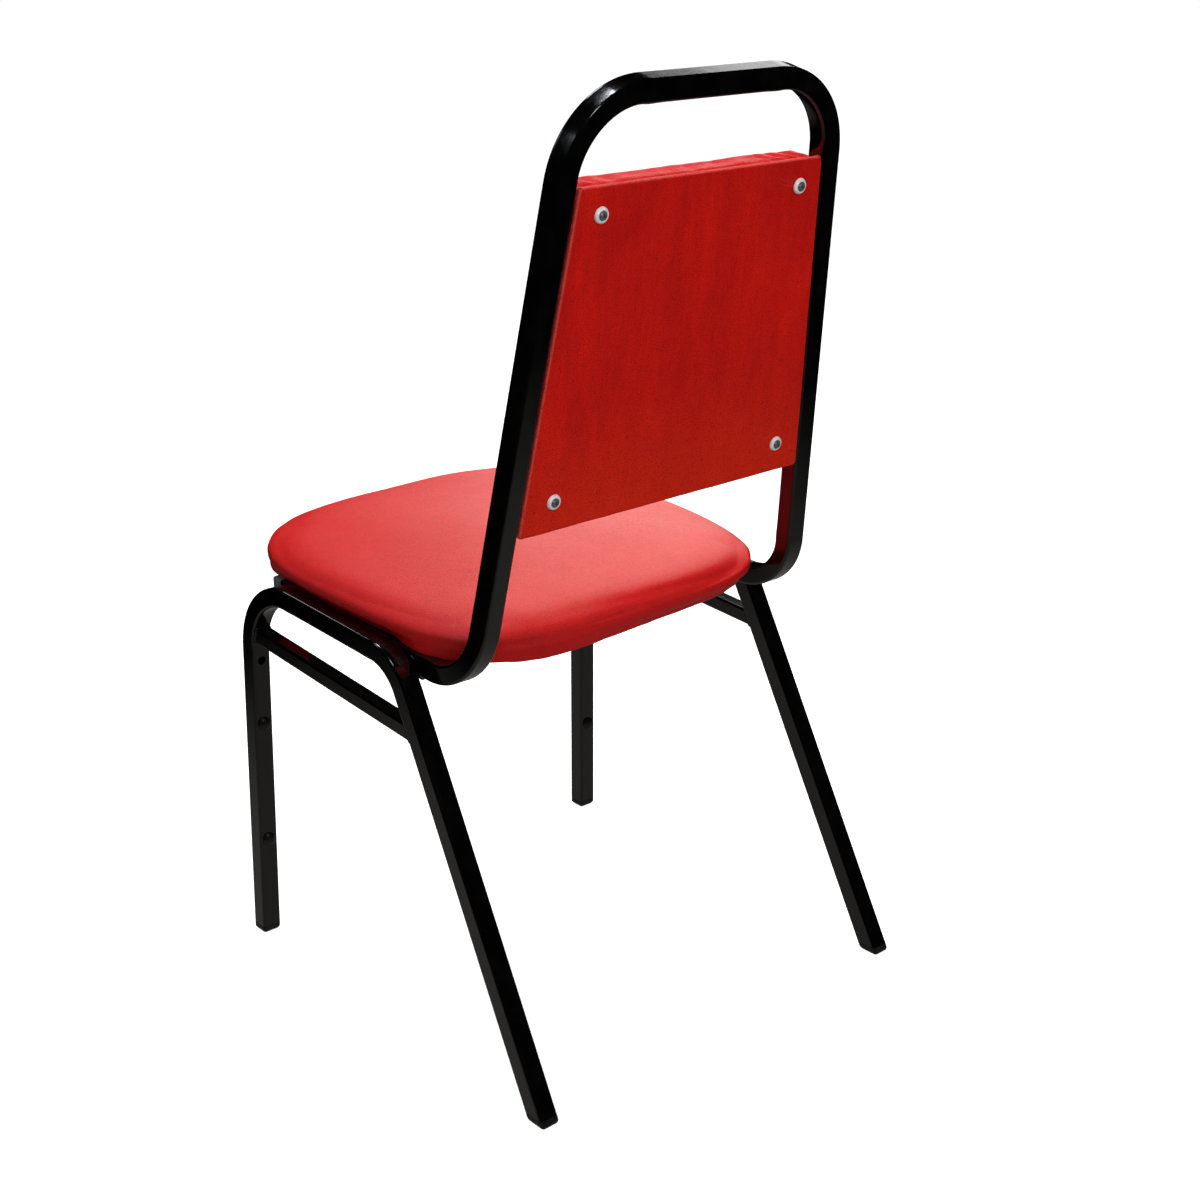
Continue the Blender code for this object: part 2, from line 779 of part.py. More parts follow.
def back_ring(inset, d, radius, per_corner=4, scale=1.0, crown=0.0):
    """Ring of the back's outline, a trapezium with round corners."""
    low, top = BACK_S_LOW + inset, BACK_S_TOP - inset
    slope = (BACK_W_TOP - BACK_W_LOW) / (BACK_S_TOP - BACK_S_LOW)
    wide_low = BACK_W_LOW + slope * inset - inset
    wide_top = BACK_W_TOP - slope * inset - inset
    corners = [(wide_low, low), (wide_top, top), (-wide_top, top), (-wide_low, low)]
    mid = (BACK_S_LOW + BACK_S_TOP) / 2
    ring = []
    for i, (x, s) in enumerate(corners):
        before = Vector(corners[i - 1]) - Vector((x, s))
        after = Vector(corners[(i + 1) % 4]) - Vector((x, s))
        u, v = before.normalized(), after.normalized()
        between = u.angle(v)
        reach = radius / math.tan(between / 2)
        centre = Vector((x, s)) + (u + v).normalized() * (radius / math.sin(between / 2))
        first = (Vector((x, s)) + u * reach - centre) / radius
        last = (Vector((x, s)) + v * reach - centre) / radius
        for j in range(per_corner):
            turn = first.angle(last)
            share = j / (per_corner - 1)
            mixed = first * (math.sin((1 - share) * turn) / math.sin(turn)) + last * (
                math.sin(share * turn) / math.sin(turn)
            )
            spot = centre + mixed * radius
            ring.append((spot.x, spot.y))
    # points along the long edges, so that the edges can bow
    full = []
    for i in range(len(ring)):
        a, b = ring[i], ring[(i + 1) % len(ring)]
        full.append(a)
        if (i + 1) % per_corner == 0:
            for t in (1 / 3, 2 / 3):
                full.append((a[0] + (b[0] - a[0]) * t, a[1] + (b[1] - a[1]) * t))
    return [B(x * scale, mid + (s - mid) * scale, d - crown) for x, s in full]


panel_front = REAR_PANEL_D - REAR_PANEL_THICK
rear_cover_mesh = loft(
    [
        back_ring(24 * MM, panel_front, 3 * MM),
        back_ring(1.2 * MM, panel_front, 3 * MM),
        back_ring(0.2 * MM, panel_front + 1.2 * MM, 3 * MM),
        back_ring(0.0, REAR_PANEL_D - 2.2 * MM, 3 * MM),
        back_ring(0.7 * MM, REAR_PANEL_D - 0.6 * MM, 3 * MM),
        back_ring(2.4 * MM, REAR_PANEL_D, 3 * MM),
    ],
    None,
    "flat",
)
smooth(rear_cover_mesh, 60)
rear_cover = add_object("back_rear_cover", rear_cover_mesh, PANEL_RED)
shell(rear_cover, VINYL)

rear_board_mesh = loft(
    [
        back_ring(2.6 * MM, panel_front + VINYL + GAP, 3.5 * MM),
        back_ring(2.6 * MM, REAR_PANEL_D - VINYL - GAP, 3.5 * MM),
    ],
    "flat",
    "flat",
)
rear_board = add_object("back_rear_board", rear_board_mesh, PLY)

front_rings = [
    back_ring(24 * MM, CUSHION_D, 8 * MM),
    back_ring(2.4 * MM, CUSHION_D, 11 * MM),
    back_ring(0.6 * MM, CUSHION_D - 1.8 * MM, 12 * MM),
    back_ring(0.2 * MM, CUSHION_D - 8 * MM, 13 * MM),
    back_ring(0.2 * MM, CUSHION_WALL_D, 13 * MM),
]
front_face = []
for k in range(1, 5):
    angle = math.pi / 2 * k / 4
    front_face.append(
        (
            CUSHION_ROLL * (1 - math.cos(angle)),
            CUSHION_WALL_D + (CUSHION_FACE_D - CUSHION_WALL_D) * math.sin(angle),
        )
    )


def cushion_face(extra):
    rings = [back_ring(inset + extra, d + extra, 14 * MM) for inset, d in front_face]
    for k in (0.35, 0.7):
        rings.append(
            back_ring(
                CUSHION_ROLL + extra,
                CUSHION_FACE_D + extra,
                14 * MM,
                scale=1 - k,
                crown=CUSHION_CROWN * (1 - (1 - k) ** 2),
            )
        )
    tip = B(0, (BACK_S_LOW + BACK_S_TOP) / 2, CUSHION_FACE_D + extra - CUSHION_CROWN)
    return rings, tip


face_rings, face_tip = cushion_face(0.0)
front_cover_mesh = loft(front_rings + face_rings, None, face_tip)
smooth(front_cover_mesh, 60)
front_cover = add_object("back_front_cover", front_cover_mesh, SEAT_RED)
shell(front_cover, VINYL)

front_board_mesh = loft(
    [
        back_ring(3.4 * MM, CUSHION_D - VINYL - GAP, 10 * MM),
        back_ring(3.4 * MM, BACK_BOARD_D, 10 * MM),
    ],
    "flat",
    "flat",
)
front_board = add_object("back_front_board", front_board_mesh, PLY)

foam_rings, foam_tip = cushion_face(VINYL + 2 * GAP)
front_foam_mesh = loft(
    [
        back_ring(3.0 * MM, BACK_BOARD_D - GAP, 11 * MM),
        back_ring(0.2 * MM + VINYL + 2 * GAP, BACK_BOARD_D - 3 * MM, 12 * MM),
        back_ring(0.2 * MM + VINYL + 2 * GAP, CUSHION_WALL_D + VINYL, 12 * MM),
    ]
    + foam_rings,
    "flat",
    foam_tip,
)
smooth(front_foam_mesh, 60)
add_object("back_front_foam", front_foam_mesh, FOAM)


# ------------------------------------------------- tabs, screws, cup washers
def upright_x(s):
    """Centre of the hoop's upright at the distance s up the back."""
    low, top = hoop_corners()[1:3]
    z = B(0, s, 0).z
    return low.x + (top.x - low.x) * (z - low.z) / (top.z - low.z)


tab_pockets = []
tab_frames = []
for word, side in SIDES:
    for level, (x, s) in (("upper", SCREW_TOP), ("lower", SCREW_LOW)):
        lean = math.atan2(upright_x(s + 0.01) - upright_x(s), 0.01)
        outer = upright_x(s) - TUBE / 2 - GAP * 1.6
        inner = x - 13 * MM
        mid_d = TAB_D - TAB_THICK / 2
        # the outer edge follows the upright's lean, the inner edge is upright
        half = TAB_WIDE / 2
        rings = []
        for d in (TAB_D - TAB_THICK, TAB_D):
            ring = []
            for px, ps in (
                (inner, s - half),
                (outer + math.tan(-lean) * half, s - half),
                (outer - math.tan(-lean) * half, s + half),
                (inner, s + half),
            ):
                ring.append(B(side * px, ps, d))
            rings.append(ring)
        tab = add_object(f"back_tab_{level}_{word}", loft(rings, "flat", "flat"), PAINT)
        bore = cylinders(
            f"back_tab_{level}_{word}_bore",
            [(back_matrix(side * x, s, 0), 2.7 * MM, -2 * MM, 8 * MM)],
            12,
        )
        cut(tab, bore)
        low_x = inner - 0.5 * MM
        high_x = outer + 14 * MM
        pocket = back_matrix(side * (low_x + high_x) / 2, s, TAB_D - TAB_THICK - GAP)
        tab_pockets.append(
            (
                pocket @ Matrix.Translation((0, 0, 5 * MM)),
                (high_x - low_x, TAB_WIDE + 1.0 * MM, 10 * MM),
            )
        )
        tab_frames.append((f"{level}_{word}", side * x, s))

pockets = boxes("tab_pockets", tab_pockets)
cut(front_board, pockets)
cut(front_cover, pockets)

panel_bores = cylinders(
    "back_screw_holes_panel",
    [(back_matrix(x, s, 0), 2.7 * MM, 3.0 * MM, 14 * MM) for name, x, s in tab_frames],
    12,
)
cut(rear_board, panel_bores)
cut(rear_cover, panel_bores)
board_bores = cylinders(
    "back_screw_holes_board",
    [(back_matrix(x, s, 0), 2.5 * MM, -5.4 * MM, 8 * MM) for name, x, s in tab_frames],
    12,
)
cut(front_board, board_bores)

OVAL_HEAD = [
    (0, 1.8 * MM),
    (1.6 * MM, 1.6 * MM),
    (2.9 * MM, 1.0 * MM),
    (3.9 * MM, 0.1 * MM),
    (3.9 * MM, -0.4 * MM),
    (2.1 * MM, -2.3 * MM),
]
CUP_WASHER = [
    (2.5 * MM, -2.05 * MM),
    (4.45 * MM, -0.05 * MM),
    (5.05 * MM, 0.12 * MM),
    (6.05 * MM, -0.5 * MM),
    (6.8 * MM, -1.75 * MM),
    (7.0 * MM, -2.65 * MM),
    (6.45 * MM, -2.65 * MM),
    (5.95 * MM, -1.75 * MM),
    (5.05 * MM, -0.8 * MM),
    (4.45 * MM, -0.9 * MM),
    (3.0 * MM, -2.4 * MM),
    (2.5 * MM, -2.05 * MM),
]
cup_top = REAR_PANEL_D + GAP + 2.65 * MM
for name, x, s in tab_frames:
    # the washer's section is a closed loop, so that it turns into a ring
    turned("cup_washer_" + name, CUP_WASHER, BRIGHT, back_matrix(x, s, cup_top), 16)
    head = screw(
        "back_screw_" + name,
        back_matrix(x, s, cup_top + 0.35 * MM),
        OVAL_HEAD,
        2.1 * MM,
        17.35 * MM,
    )
    slot = back_matrix(x, s, cup_top + 0.35 * MM)
    cut(
        head,
        cross_recess(
            "back_screw_recess_" + name, slot, 2.15 * MM, 0.95 * MM, 0.2 * MM, 3.0 * MM
        ),
    )
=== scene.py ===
"""Looks of the stacking chair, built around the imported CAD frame.

Every visible piece is made again here at full surface quality, in metres and
in the CAD's own frame, and rides on the one body.
"""

import json
import math

import bmesh
import bpy
import numpy as np
from mathutils import Matrix, Vector, noise

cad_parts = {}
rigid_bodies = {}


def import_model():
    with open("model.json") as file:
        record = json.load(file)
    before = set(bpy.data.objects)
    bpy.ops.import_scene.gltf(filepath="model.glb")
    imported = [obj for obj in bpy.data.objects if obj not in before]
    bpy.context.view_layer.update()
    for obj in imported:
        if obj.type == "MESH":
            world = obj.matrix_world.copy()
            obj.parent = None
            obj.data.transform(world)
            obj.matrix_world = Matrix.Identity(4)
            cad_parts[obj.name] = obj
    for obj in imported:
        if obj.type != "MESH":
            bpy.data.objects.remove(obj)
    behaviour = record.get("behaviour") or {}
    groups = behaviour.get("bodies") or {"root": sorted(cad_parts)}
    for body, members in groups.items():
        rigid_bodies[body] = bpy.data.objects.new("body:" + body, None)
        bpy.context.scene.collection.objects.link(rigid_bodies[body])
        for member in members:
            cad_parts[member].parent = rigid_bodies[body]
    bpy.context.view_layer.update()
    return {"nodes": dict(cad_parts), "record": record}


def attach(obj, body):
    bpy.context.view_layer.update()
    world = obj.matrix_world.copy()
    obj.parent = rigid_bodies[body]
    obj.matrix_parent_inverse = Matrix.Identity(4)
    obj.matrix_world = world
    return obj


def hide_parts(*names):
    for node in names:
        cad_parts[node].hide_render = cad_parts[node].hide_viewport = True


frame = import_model()
nodes = frame["nodes"]
scene = bpy.context.scene
MM = 0.001
X_AXIS = Vector((1, 0, 0))
UP = Vector((0, 0, 1))

# ------------------------------------------------- sizes shared with the CAD
Y_SHIFT = -20.344 * MM
TUBE, WALL, CORNER = 20.0 * MM, 1.2 * MM, 2.7 * MM
FOOT_X, RAIL_X_FRONT, RAIL_X_REAR = 216.4 * MM, 209.7 * MM, 210.7 * MM
FRONT_FOOT_Y, REAR_FOOT_Y = -186.3 * MM, 271.4 * MM
FRONT_TOP, REAR_TOP = (-167.3 * MM, 392.4 * MM), (76.4 * MM, 379.1 * MM)
FRONT_BEND_R, REAR_BEND_R = 71.0 * MM, 54.2 * MM
TUBE_FOOT_Z = 8.0 * MM
BRACE, BRACE_CORNER = 15.4 * MM, 2.2 * MM
BRACE_FRONT_Z, BRACE_REAR_Z = 337.1 * MM, 314.8 * MM
RAIL_SLOPE, HOOP_RAIL_Z, HOOP_RAIL_X_FRONT = -0.0543, 372.6 * MM, 189.2 * MM
HOOP_END_Y = -134.0 * MM
HOOP_LOW = (190.7 * MM, 162.3 * MM, 368.8 * MM)
HOOP_TOP = (141.0 * MM, 252.6 * MM, 865.9 * MM)
HOOP_LOW_R, ARCH_R, PLUG_HEAD = 62.0 * MM, 73.8 * MM, 17.5 * MM
SEAT_W_FRONT, SEAT_W_REAR = 218.7 * MM, 202.8 * MM
SEAT_Y_FRONT, SEAT_Y_REAR = -240.2 * MM, 170.0 * MM
SEAT_N_FRONT, SEAT_N_REAR = 2.9, 3.84
SEAT_THICK, SEAT_CROWN, SEAT_ROLL = 34.5 * MM, 12.0 * MM, 52.0 * MM
SEAT_BASE_Z, SEAT_SLOPE = 382.9 * MM, -0.0543
BACK_S_LOW, BACK_S_TOP = 136.6 * MM, 431.0 * MM
BACK_W_LOW, BACK_W_TOP = 165.4 * MM, 135.2 * MM
REAR_PANEL_D, REAR_PANEL_THICK = 10.4 * MM, 5.6 * MM
CUSHION_D, CUSHION_WALL_D, CUSHION_FACE_D = 4.4 * MM, -15.0 * MM, -27.0 * MM
CUSHION_CROWN, CUSHION_ROLL = 5.0 * MM, 30.0 * MM
SCREW_TOP, SCREW_LOW = (111.4 * MM, 407.4 * MM), (131.6 * MM, 165.0 * MM)
TAB_THICK, TAB_WIDE, TAB_D = 2.4 * MM, 24.0 * MM, 4.2 * MM
BUMPER_R, BUMPER_H, BUMPER_STEM_R = 7.0 * MM, 5.4 * MM, 2.5 * MM
FRONT_BUMPERS_Z, REAR_BUMPERS_Z = (239.5 * MM, 109.5 * MM), (214.5 * MM, 133.0 * MM)
DRAIN_Z, DRAIN_R = 308.0 * MM, 4.5 * MM
SEAT_SCREW_Y = (-98.0 * MM, 58.0 * MM)
SIDES = (("left", 1), ("right", -1))


def V(x, y, z):
    return Vector((x, y + Y_SHIFT, z))


# ------------------------------------------------------------------ materials
class Nodes:
    """Short calls for building one material's node tree."""

    def __init__(self, name, colour, roughness, metallic=0.0):
        self.mat = bpy.data.materials.new(name)
        self.mat.use_nodes = True
        self.tree = self.mat.node_tree
        self.shader = self.tree.nodes["Principled BSDF"]
        self.set("Base Color", (*colour, 1.0))
        self.set("Roughness", roughness)
        self.set("Metallic", metallic)
        self.mat.diffuse_color = (*colour, 1.0)
        self.place = self.add("ShaderNodeTexCoord").outputs["Object"]

    def set(self, socket, value):
        self.shader.inputs[socket].default_value = value

    def add(self, kind, **values):
        node = self.tree.nodes.new(kind)
        for key, value in values.items():
            setattr(node, key, value)
        return node

    def put(self, socket, value):
        if isinstance(value, bpy.types.NodeSocket):
            self.tree.links.new(value, socket)
        else:
            socket.default_value = value

    def mapping(self, scale=(1, 1, 1), turn=(0, 0, 0), source=None):
        node = self.add("ShaderNodeMapping")
        self.put(node.inputs["Vector"], source or self.place)
        node.inputs["Scale"].default_value = scale
        node.inputs["Rotation"].default_value = turn
        return node.outputs["Vector"]

    def noise(self, scale, detail=2.0, rough=0.5, source=None, distortion=0.0):
        node = self.add("ShaderNodeTexNoise")
        self.put(node.inputs["Vector"], source or self.place)
        node.inputs["Scale"].default_value = scale
        node.inputs["Detail"].default_value = detail
        node.inputs["Roughness"].default_value = rough
        node.inputs["Distortion"].default_value = distortion
        return node.outputs["Fac"]

    def voronoi(self, scale, feature="F1", source=None, out="Distance", random=1.0):
        node = self.add("ShaderNodeTexVoronoi", feature=feature)
        self.put(node.inputs["Vector"], source or self.place)
        node.inputs["Scale"].default_value = scale
        node.inputs["Randomness"].default_value = random
        return node.outputs[out]

    def wave(self, scale, distortion=0.0, detail=2.0, source=None, axis="X"):
        node = self.add("ShaderNodeTexWave", bands_direction=axis)
        self.put(node.inputs["Vector"], source or self.place)
        node.inputs["Scale"].default_value = scale
        node.inputs["Distortion"].default_value = distortion
        node.inputs["Detail"].default_value = detail
        return node.outputs["Fac"]

    def math(self, op, a, b=0.0, clamp=False):
        node = self.add("ShaderNodeMath", operation=op, use_clamp=clamp)
        self.put(node.inputs[0], a)
        self.put(node.inputs[1], b)
        return node.outputs[0]

    def span(self, value, low, high, to_low, to_high):
        node = self.add("ShaderNodeMapRange")
        node.clamp = True
        self.put(node.inputs["Value"], value)
        for key, number in (
            ("From Min", low),
            ("From Max", high),
            ("To Min", to_low),
            ("To Max", to_high),
        ):
            node.inputs[key].default_value = number
        return node.outputs["Result"]

    def mix(self, share, a, b):
        node = self.add("ShaderNodeMix", data_type="RGBA")
        self.put(node.inputs[0], share)
        self.put(node.inputs[6], a)
        self.put(node.inputs[7], b)
        return node.outputs[2]

    def bump(self, height, strength, distance, after=None):
        node = self.add("ShaderNodeBump")
        node.inputs["Strength"].default_value = strength
        node.inputs["Distance"].default_value = distance
        self.put(node.inputs["Height"], height)
        if after is not None:
            self.put(node.inputs["Normal"], after)
        return node.outputs["Normal"]

    def out(self, socket, value):
        self.put(self.shader.inputs[socket], value)


def rgb(r, g, b):
    return (r, g, b, 1.0)


def paint_material():
    """Black gloss enamel over steel: orange peel, rub marks, faint dust."""
    n = Nodes("black_gloss_paint", (0.0016, 0.0016, 0.0018), 0.2)
    n.set("Specular IOR Level", 0.5)
    n.set("Coat Weight", 0.25)
    n.set("Coat Roughness", 0.06)
    dust = n.noise(38.0, 5.0, 0.62)
    specks = n.noise(620.0, 2.0, 0.5)
    mottle = n.mix(
        n.span(dust, 0.45, 0.75, 0.0, 1.0), rgb(0.0012, 0.0012, 0.0014), rgb(0.0042, 0.0040, 0.0036)
    )
    fleck = n.span(specks, 0.74, 0.84, 0.0, 0.25)
    n.out("Base Color", n.mix(fleck, mottle, rgb(0.016, 0.015, 0.014)))
    along = n.mapping((60.0, 60.0, 6.0))
    rub = n.noise(9.0, 3.0, 0.6, along)
    rough = n.math("ADD", n.span(dust, 0.3, 0.8, 0.085, 0.17), n.span(rub, 0.5, 0.8, 0.0, 0.08))
    n.out("Roughness", rough)
    peel = n.noise(430.0, 2.0, 0.45)
    wavy = n.noise(36.0, 1.0, 0.4)
    first = n.bump(wavy, 0.10, 0.0012)
    second = n.bump(peel, 0.10, 0.00022, first)
    n.out("Normal", n.bump(specks, 0.05, 0.0001, second))
    return n.mat


def weld_material():
    """The same enamel over a weld bead, a little rougher and greyer."""
    n = Nodes("painted_weld", (0.010, 0.010, 0.0105), 0.3)
    n.set("Coat Weight", 0.2)
    n.set("Coat Roughness", 0.18)
    grit = n.noise(900.0, 4.0, 0.65)
    n.out(
        "Base Color",
        n.mix(n.span(grit, 0.35, 0.75, 0.0, 1.0), rgb(0.003, 0.003, 0.0034), rgb(0.014, 0.0135, 0.013)),
    )
    n.out("Roughness", n.span(grit, 0.3, 0.7, 0.22, 0.45))
    n.out("Normal", n.bump(grit, 0.25, 0.0003))
    return n.mat


def vinyl_material(
    name, bright, deep, grain=1.0, streaks=0.0, gloss=0.40, shine=0.5, painted_bounce=None, edges=None
):
    """Upholstery vinyl: pressed leather grain, fine pores, slow colour drift, painted shade in the grain's valleys, and
    where asked, painted warm bounce light low down and painted highlights where the surface faces up or sideways.
    """
    n = Nodes(name, bright[:3], gloss)
    n.set("Specular IOR Level", shine)
    warp_a = n.noise(180.0, 2.0, 0.5)
    shift = n.add("ShaderNodeVectorMath", operation="SCALE")
    warp_source = n.add("ShaderNodeTexNoise")
    n.put(warp_source.inputs["Vector"], n.place)
    warp_source.inputs["Scale"].default_value = 210.0
    warp_source.inputs["Detail"].default_value = 1.0
    n.put(shift.inputs[0], warp_source.outputs["Color"])
    shift.inputs["Scale"].default_value = 0.0016
    moved = n.add("ShaderNodeVectorMath", operation="ADD")
    n.put(moved.inputs[0], n.place)
    n.put(moved.inputs[1], shift.outputs[0])
    cells = n.voronoi(470.0, "DISTANCE_TO_EDGE", moved.outputs[0])
    small = n.voronoi(1150.0, "DISTANCE_TO_EDGE", moved.outputs[0])
    pores = n.noise(3200.0, 2.0, 0.6)
    plates = n.span(cells, 0.0, 0.16, 0.0, 1.0)
    fine = n.span(small, 0.0, 0.20, 0.0, 1.0)
    relief = n.math("ADD", n.math("MULTIPLY", plates, 0.62), n.math("MULTIPLY", fine, 0.30))
    relief = n.math("ADD", relief, n.math("MULTIPLY", pores, 0.16))
    drift = n.noise(7.5, 4.0, 0.58, distortion=0.4)
    cloud = n.noise(55.0, 3.0, 0.6)
    tone = n.math("ADD", n.math("MULTIPLY", drift, 0.65), n.math("MULTIPLY", cloud, 0.35))
    if streaks:
        run = n.noise(1.0, 3.0, 0.62, n.mapping((34.0, 34.0, 3.2)), 0.25)
        fibre = n.noise(1.0, 2.0, 0.6, n.mapping((210.0, 210.0, 9.0)))
        lines = n.math("ADD", n.math("MULTIPLY", run, 0.7), n.math("MULTIPLY", fibre, 0.3))
        tone = n.math(
            "ADD", n.math("MULTIPLY", tone, 1.0 - streaks), n.math("MULTIPLY", lines, streaks)
        )
    colour = n.mix(n.span(tone, 0.32, 0.68, 0.0, 1.0), rgb(*deep), rgb(*bright))
    if painted_bounce:
        # painted warm bounce light from the floor, growing towards the lower edge
        split = n.add("ShaderNodeSeparateXYZ")
        n.put(split.inputs[0], n.place)
        low = n.span(split.outputs["Z"], painted_bounce[0], painted_bounce[1], 0.75, 0.0)
        colour = n.mix(low, colour, rgb(bright[0], 0.030, 0.0030))
    if edges:
        # painted highlight: paler where the surface faces up or sideways, over the rolled upper and side edges
        facing = n.add("ShaderNodeNewGeometry")
        parts = n.add("ShaderNodeSeparateXYZ")
        n.put(parts.inputs[0], facing.outputs["Normal"])
        over = n.math("MAXIMUM", n.math("ABSOLUTE", parts.outputs["X"]), parts.outputs["Z"])
        pale = n.math("MULTIPLY", n.span(over, 0.25, 0.75, 0.0, 0.85), n.span(cloud, 0.25, 0.7, 0.75, 1.0))
        colour = n.mix(pale, colour, rgb(*edges))
    # painted shade in the grain's valleys: darker where the pressed relief is low
    grain_shade = tuple(c * 0.55 for c in deep)
    colour = n.mix(n.span(relief, 0.10, 0.60, 0.80 * grain, 0.0), colour, rgb(*grain_shade))
    n.out("Base Color", colour)
    rough = n.math(
        "ADD",
        n.span(relief, 0.1, 0.9, gloss + 0.12, gloss - 0.05),
        n.span(warp_a, 0.3, 0.7, -0.02, 0.03),
    )
    n.out("Roughness", rough)
    soft = n.bump(drift, 0.10, 0.004)
    n.out("Normal", n.bump(relief, 0.55 * grain, 0.00042, soft))
    return n.mat


def zinc_material(name, tint=(0.74, 0.74, 0.73), rough=0.30, metal=1.0):
    """Bright zinc plate with turning marks and a slight haze."""
    n = Nodes(name, tint, rough, metal)
    haze = n.noise(260.0, 4.0, 0.6)
    fine = n.noise(2600.0, 2.0, 0.5)
    n.out(
        "Base Color",
        n.mix(n.span(haze, 0.35, 0.7, 0.0, 1.0), rgb(*tint), rgb(tint[0] * 0.72, tint[1] * 0.73, tint[2] * 0.76)),
    )
    n.out("Roughness", n.span(haze, 0.3, 0.7, rough - 0.06, rough + 0.12))
    n.out("Normal", n.bump(fine, 0.12, 0.00008))
    return n.mat


def plastic_material(name, colour, rough, speck=0.35):
    """Moulded plastic: fine spark-eroded texture, scuffs and colour flow."""
    n = Nodes(name, colour, rough)
    n.set("Specular IOR Level", 0.45)
    flow = n.noise(90.0, 3.0, 0.55, distortion=0.6)
    grit = n.noise(2400.0, 3.0, 0.6)
    scuff = n.noise(1.0, 4.0, 0.7, n.mapping((700.0, 90.0, 260.0)))
    worn = tuple(min(1.0, c * 1.7 + 0.006) for c in colour)
    base = n.mix(n.span(flow, 0.35, 0.7, 0.0, speck), rgb(*colour), rgb(*worn))
    n.out("Base Color", n.mix(n.span(scuff, 0.62, 0.78, 0.0, 0.45), base, rgb(*worn)))
    n.out("Roughness", n.span(scuff, 0.4, 0.75, rough, rough + 0.18))
    n.out("Normal", n.bump(grit, 0.18, 0.00012))
    return n.mat


def plywood_material():
    """Rotary-cut veneer: long figure on the faces, plies on the edges."""
    n = Nodes("plywood", (0.55, 0.38, 0.22), 0.65)
    along = n.mapping((3.0, 42.0, 42.0))
    figure = n.wave(1.6, 7.0, 3.0, along, "Y")
    pores = n.noise(1.0, 3.0, 0.6, n.mapping((90.0, 900.0, 900.0)))
    plies = n.wave(1.0, 0.4, 1.0, n.mapping((0.0, 12.0, 150.0)), "Z")
    face = n.mix(figure, rgb(0.60, 0.43, 0.25), rgb(0.44, 0.28, 0.14))
    face = n.mix(n.span(plies, 0.55, 0.7, 0.0, 0.35), face, rgb(0.30, 0.18, 0.09))
    n.out("Base Color", n.mix(n.span(pores, 0.58, 0.75, 0.0, 0.6), face, rgb(0.24, 0.14, 0.07)))
    n.out("Roughness", n.span(pores, 0.3, 0.7, 0.55, 0.8))
    n.out("Normal", n.bump(pores, 0.25, 0.0003))
    return n.mat


def foam_material():
    """Cut polyurethane foam: open cells in two sizes."""
    n = Nodes("polyurethane_foam", (0.80, 0.72, 0.46), 0.95)
    cells = n.voronoi(900.0, "F1")
    big = n.voronoi(260.0, "F1")
    body = n.math("ADD", n.math("MULTIPLY", cells, 0.7), n.math("MULTIPLY", big, 0.3))
    n.out("Base Color", n.mix(n.span(body, 0.15, 0.6, 0.0, 1.0), rgb(0.60, 0.50, 0.27), rgb(0.84, 0.77, 0.52)))
    n.out("Normal", n.bump(body, 0.6, 0.0008))
    n.set("Sheen Weight", 0.1)
    return n.mat


def cambric_material():
    """Black spun-bonded dust cloth: point bonds and loose fibres."""
    n = Nodes("dust_cloth", (0.016, 0.016, 0.017), 0.9)
    turned_place = n.mapping((1.0, 1.0, 1.0), (0.0, 0.0, math.radians(45)))
    bonds = n.voronoi(620.0, "F1", turned_place, random=0.0)
    fibre = n.noise(1300.0, 5.0, 0.75, distortion=1.2)
    dotted = n.span(bonds, 0.18, 0.32, 0.0, 1.0)
    base = n.mix(n.span(fibre, 0.38, 0.66, 0.0, 1.0), rgb(0.009, 0.009, 0.010), rgb(0.045, 0.045, 0.048))
    n.out("Base Color", n.mix(dotted, rgb(0.006, 0.006, 0.006), base))
    n.out("Roughness", n.span(dotted, 0.0, 1.0, 0.6, 0.95))
    height = n.math("ADD", n.math("MULTIPLY", dotted, 0.6), n.math("MULTIPLY", fibre, 0.5))
    n.out("Normal", n.bump(height, 0.5, 0.0002))
    n.set("Sheen Weight", 0.15)
    return n.mat


PAINT = paint_material()
WELD = weld_material()
SEAT_VINYL = vinyl_material(
    "seat_vinyl", (0.86, 0.013, 0.012), (0.76, 0.007, 0.008), 0.8, 0.0, 0.44, 0.30
)
# the seat's vinyl again, in a copy with colours of its own set for how the rear panel is lit: painted light, with
# painted bounce low down and painted highlights on the rolled edges
BACK_VINYL = vinyl_material(
    "back_vinyl", (0.98, 0.0100, 0.0012), (0.58, 0.0012, 0.0010), 1.0, 0.62, 0.46, 0.18, (0.49, 0.62),
    (0.98, 0.105, 0.085)
)
ZINC = zinc_material("zinc_plate", (0.97, 0.94, 0.93), 0.30, 0.12)
SCREW_METAL = zinc_material("screw_zinc", (0.20, 0.23, 0.24), 0.26, 0.55)
# dark colour of the cross recess: painted shade in the recess, together with dirt and dull plating
RECESS_DIRT_AND_SHADE = zinc_material("screw_recess", (0.016, 0.020, 0.020), 0.5, 0.3)
BLACK_PLASTIC = plastic_material("black_plastic", (0.0045, 0.0045, 0.0048), 0.36)
GLIDE_PLASTIC = plastic_material("glide_plastic", (0.0065, 0.0068, 0.007), 0.42)
GREY_PLASTIC = plastic_material("grey_plastic", (0.22, 0.24, 0.25), 0.42, 0.2)
PLY = plywood_material()
FOAM = foam_material()
CAMBRIC = cambric_material()
SLOT_LOOK = {
    "frame_paint": PAINT,
    "glide_plastic": GLIDE_PLASTIC,
    "plug_plastic": GREY_PLASTIC,
    "bumper_plastic": BLACK_PLASTIC,
    "plywood": PLY,
    "foam": FOAM,
    "red_vinyl": SEAT_VINYL,
    "dust_cloth": CAMBRIC,
    "screw_steel": SCREW_METAL,
    "washer_steel": ZINC,
}
for entry in frame["record"]["subparts"]:
    node = nodes[entry["node"]]
    node.data.materials.clear()
    node.data.materials.append(SLOT_LOOK[entry["material_slot"]])


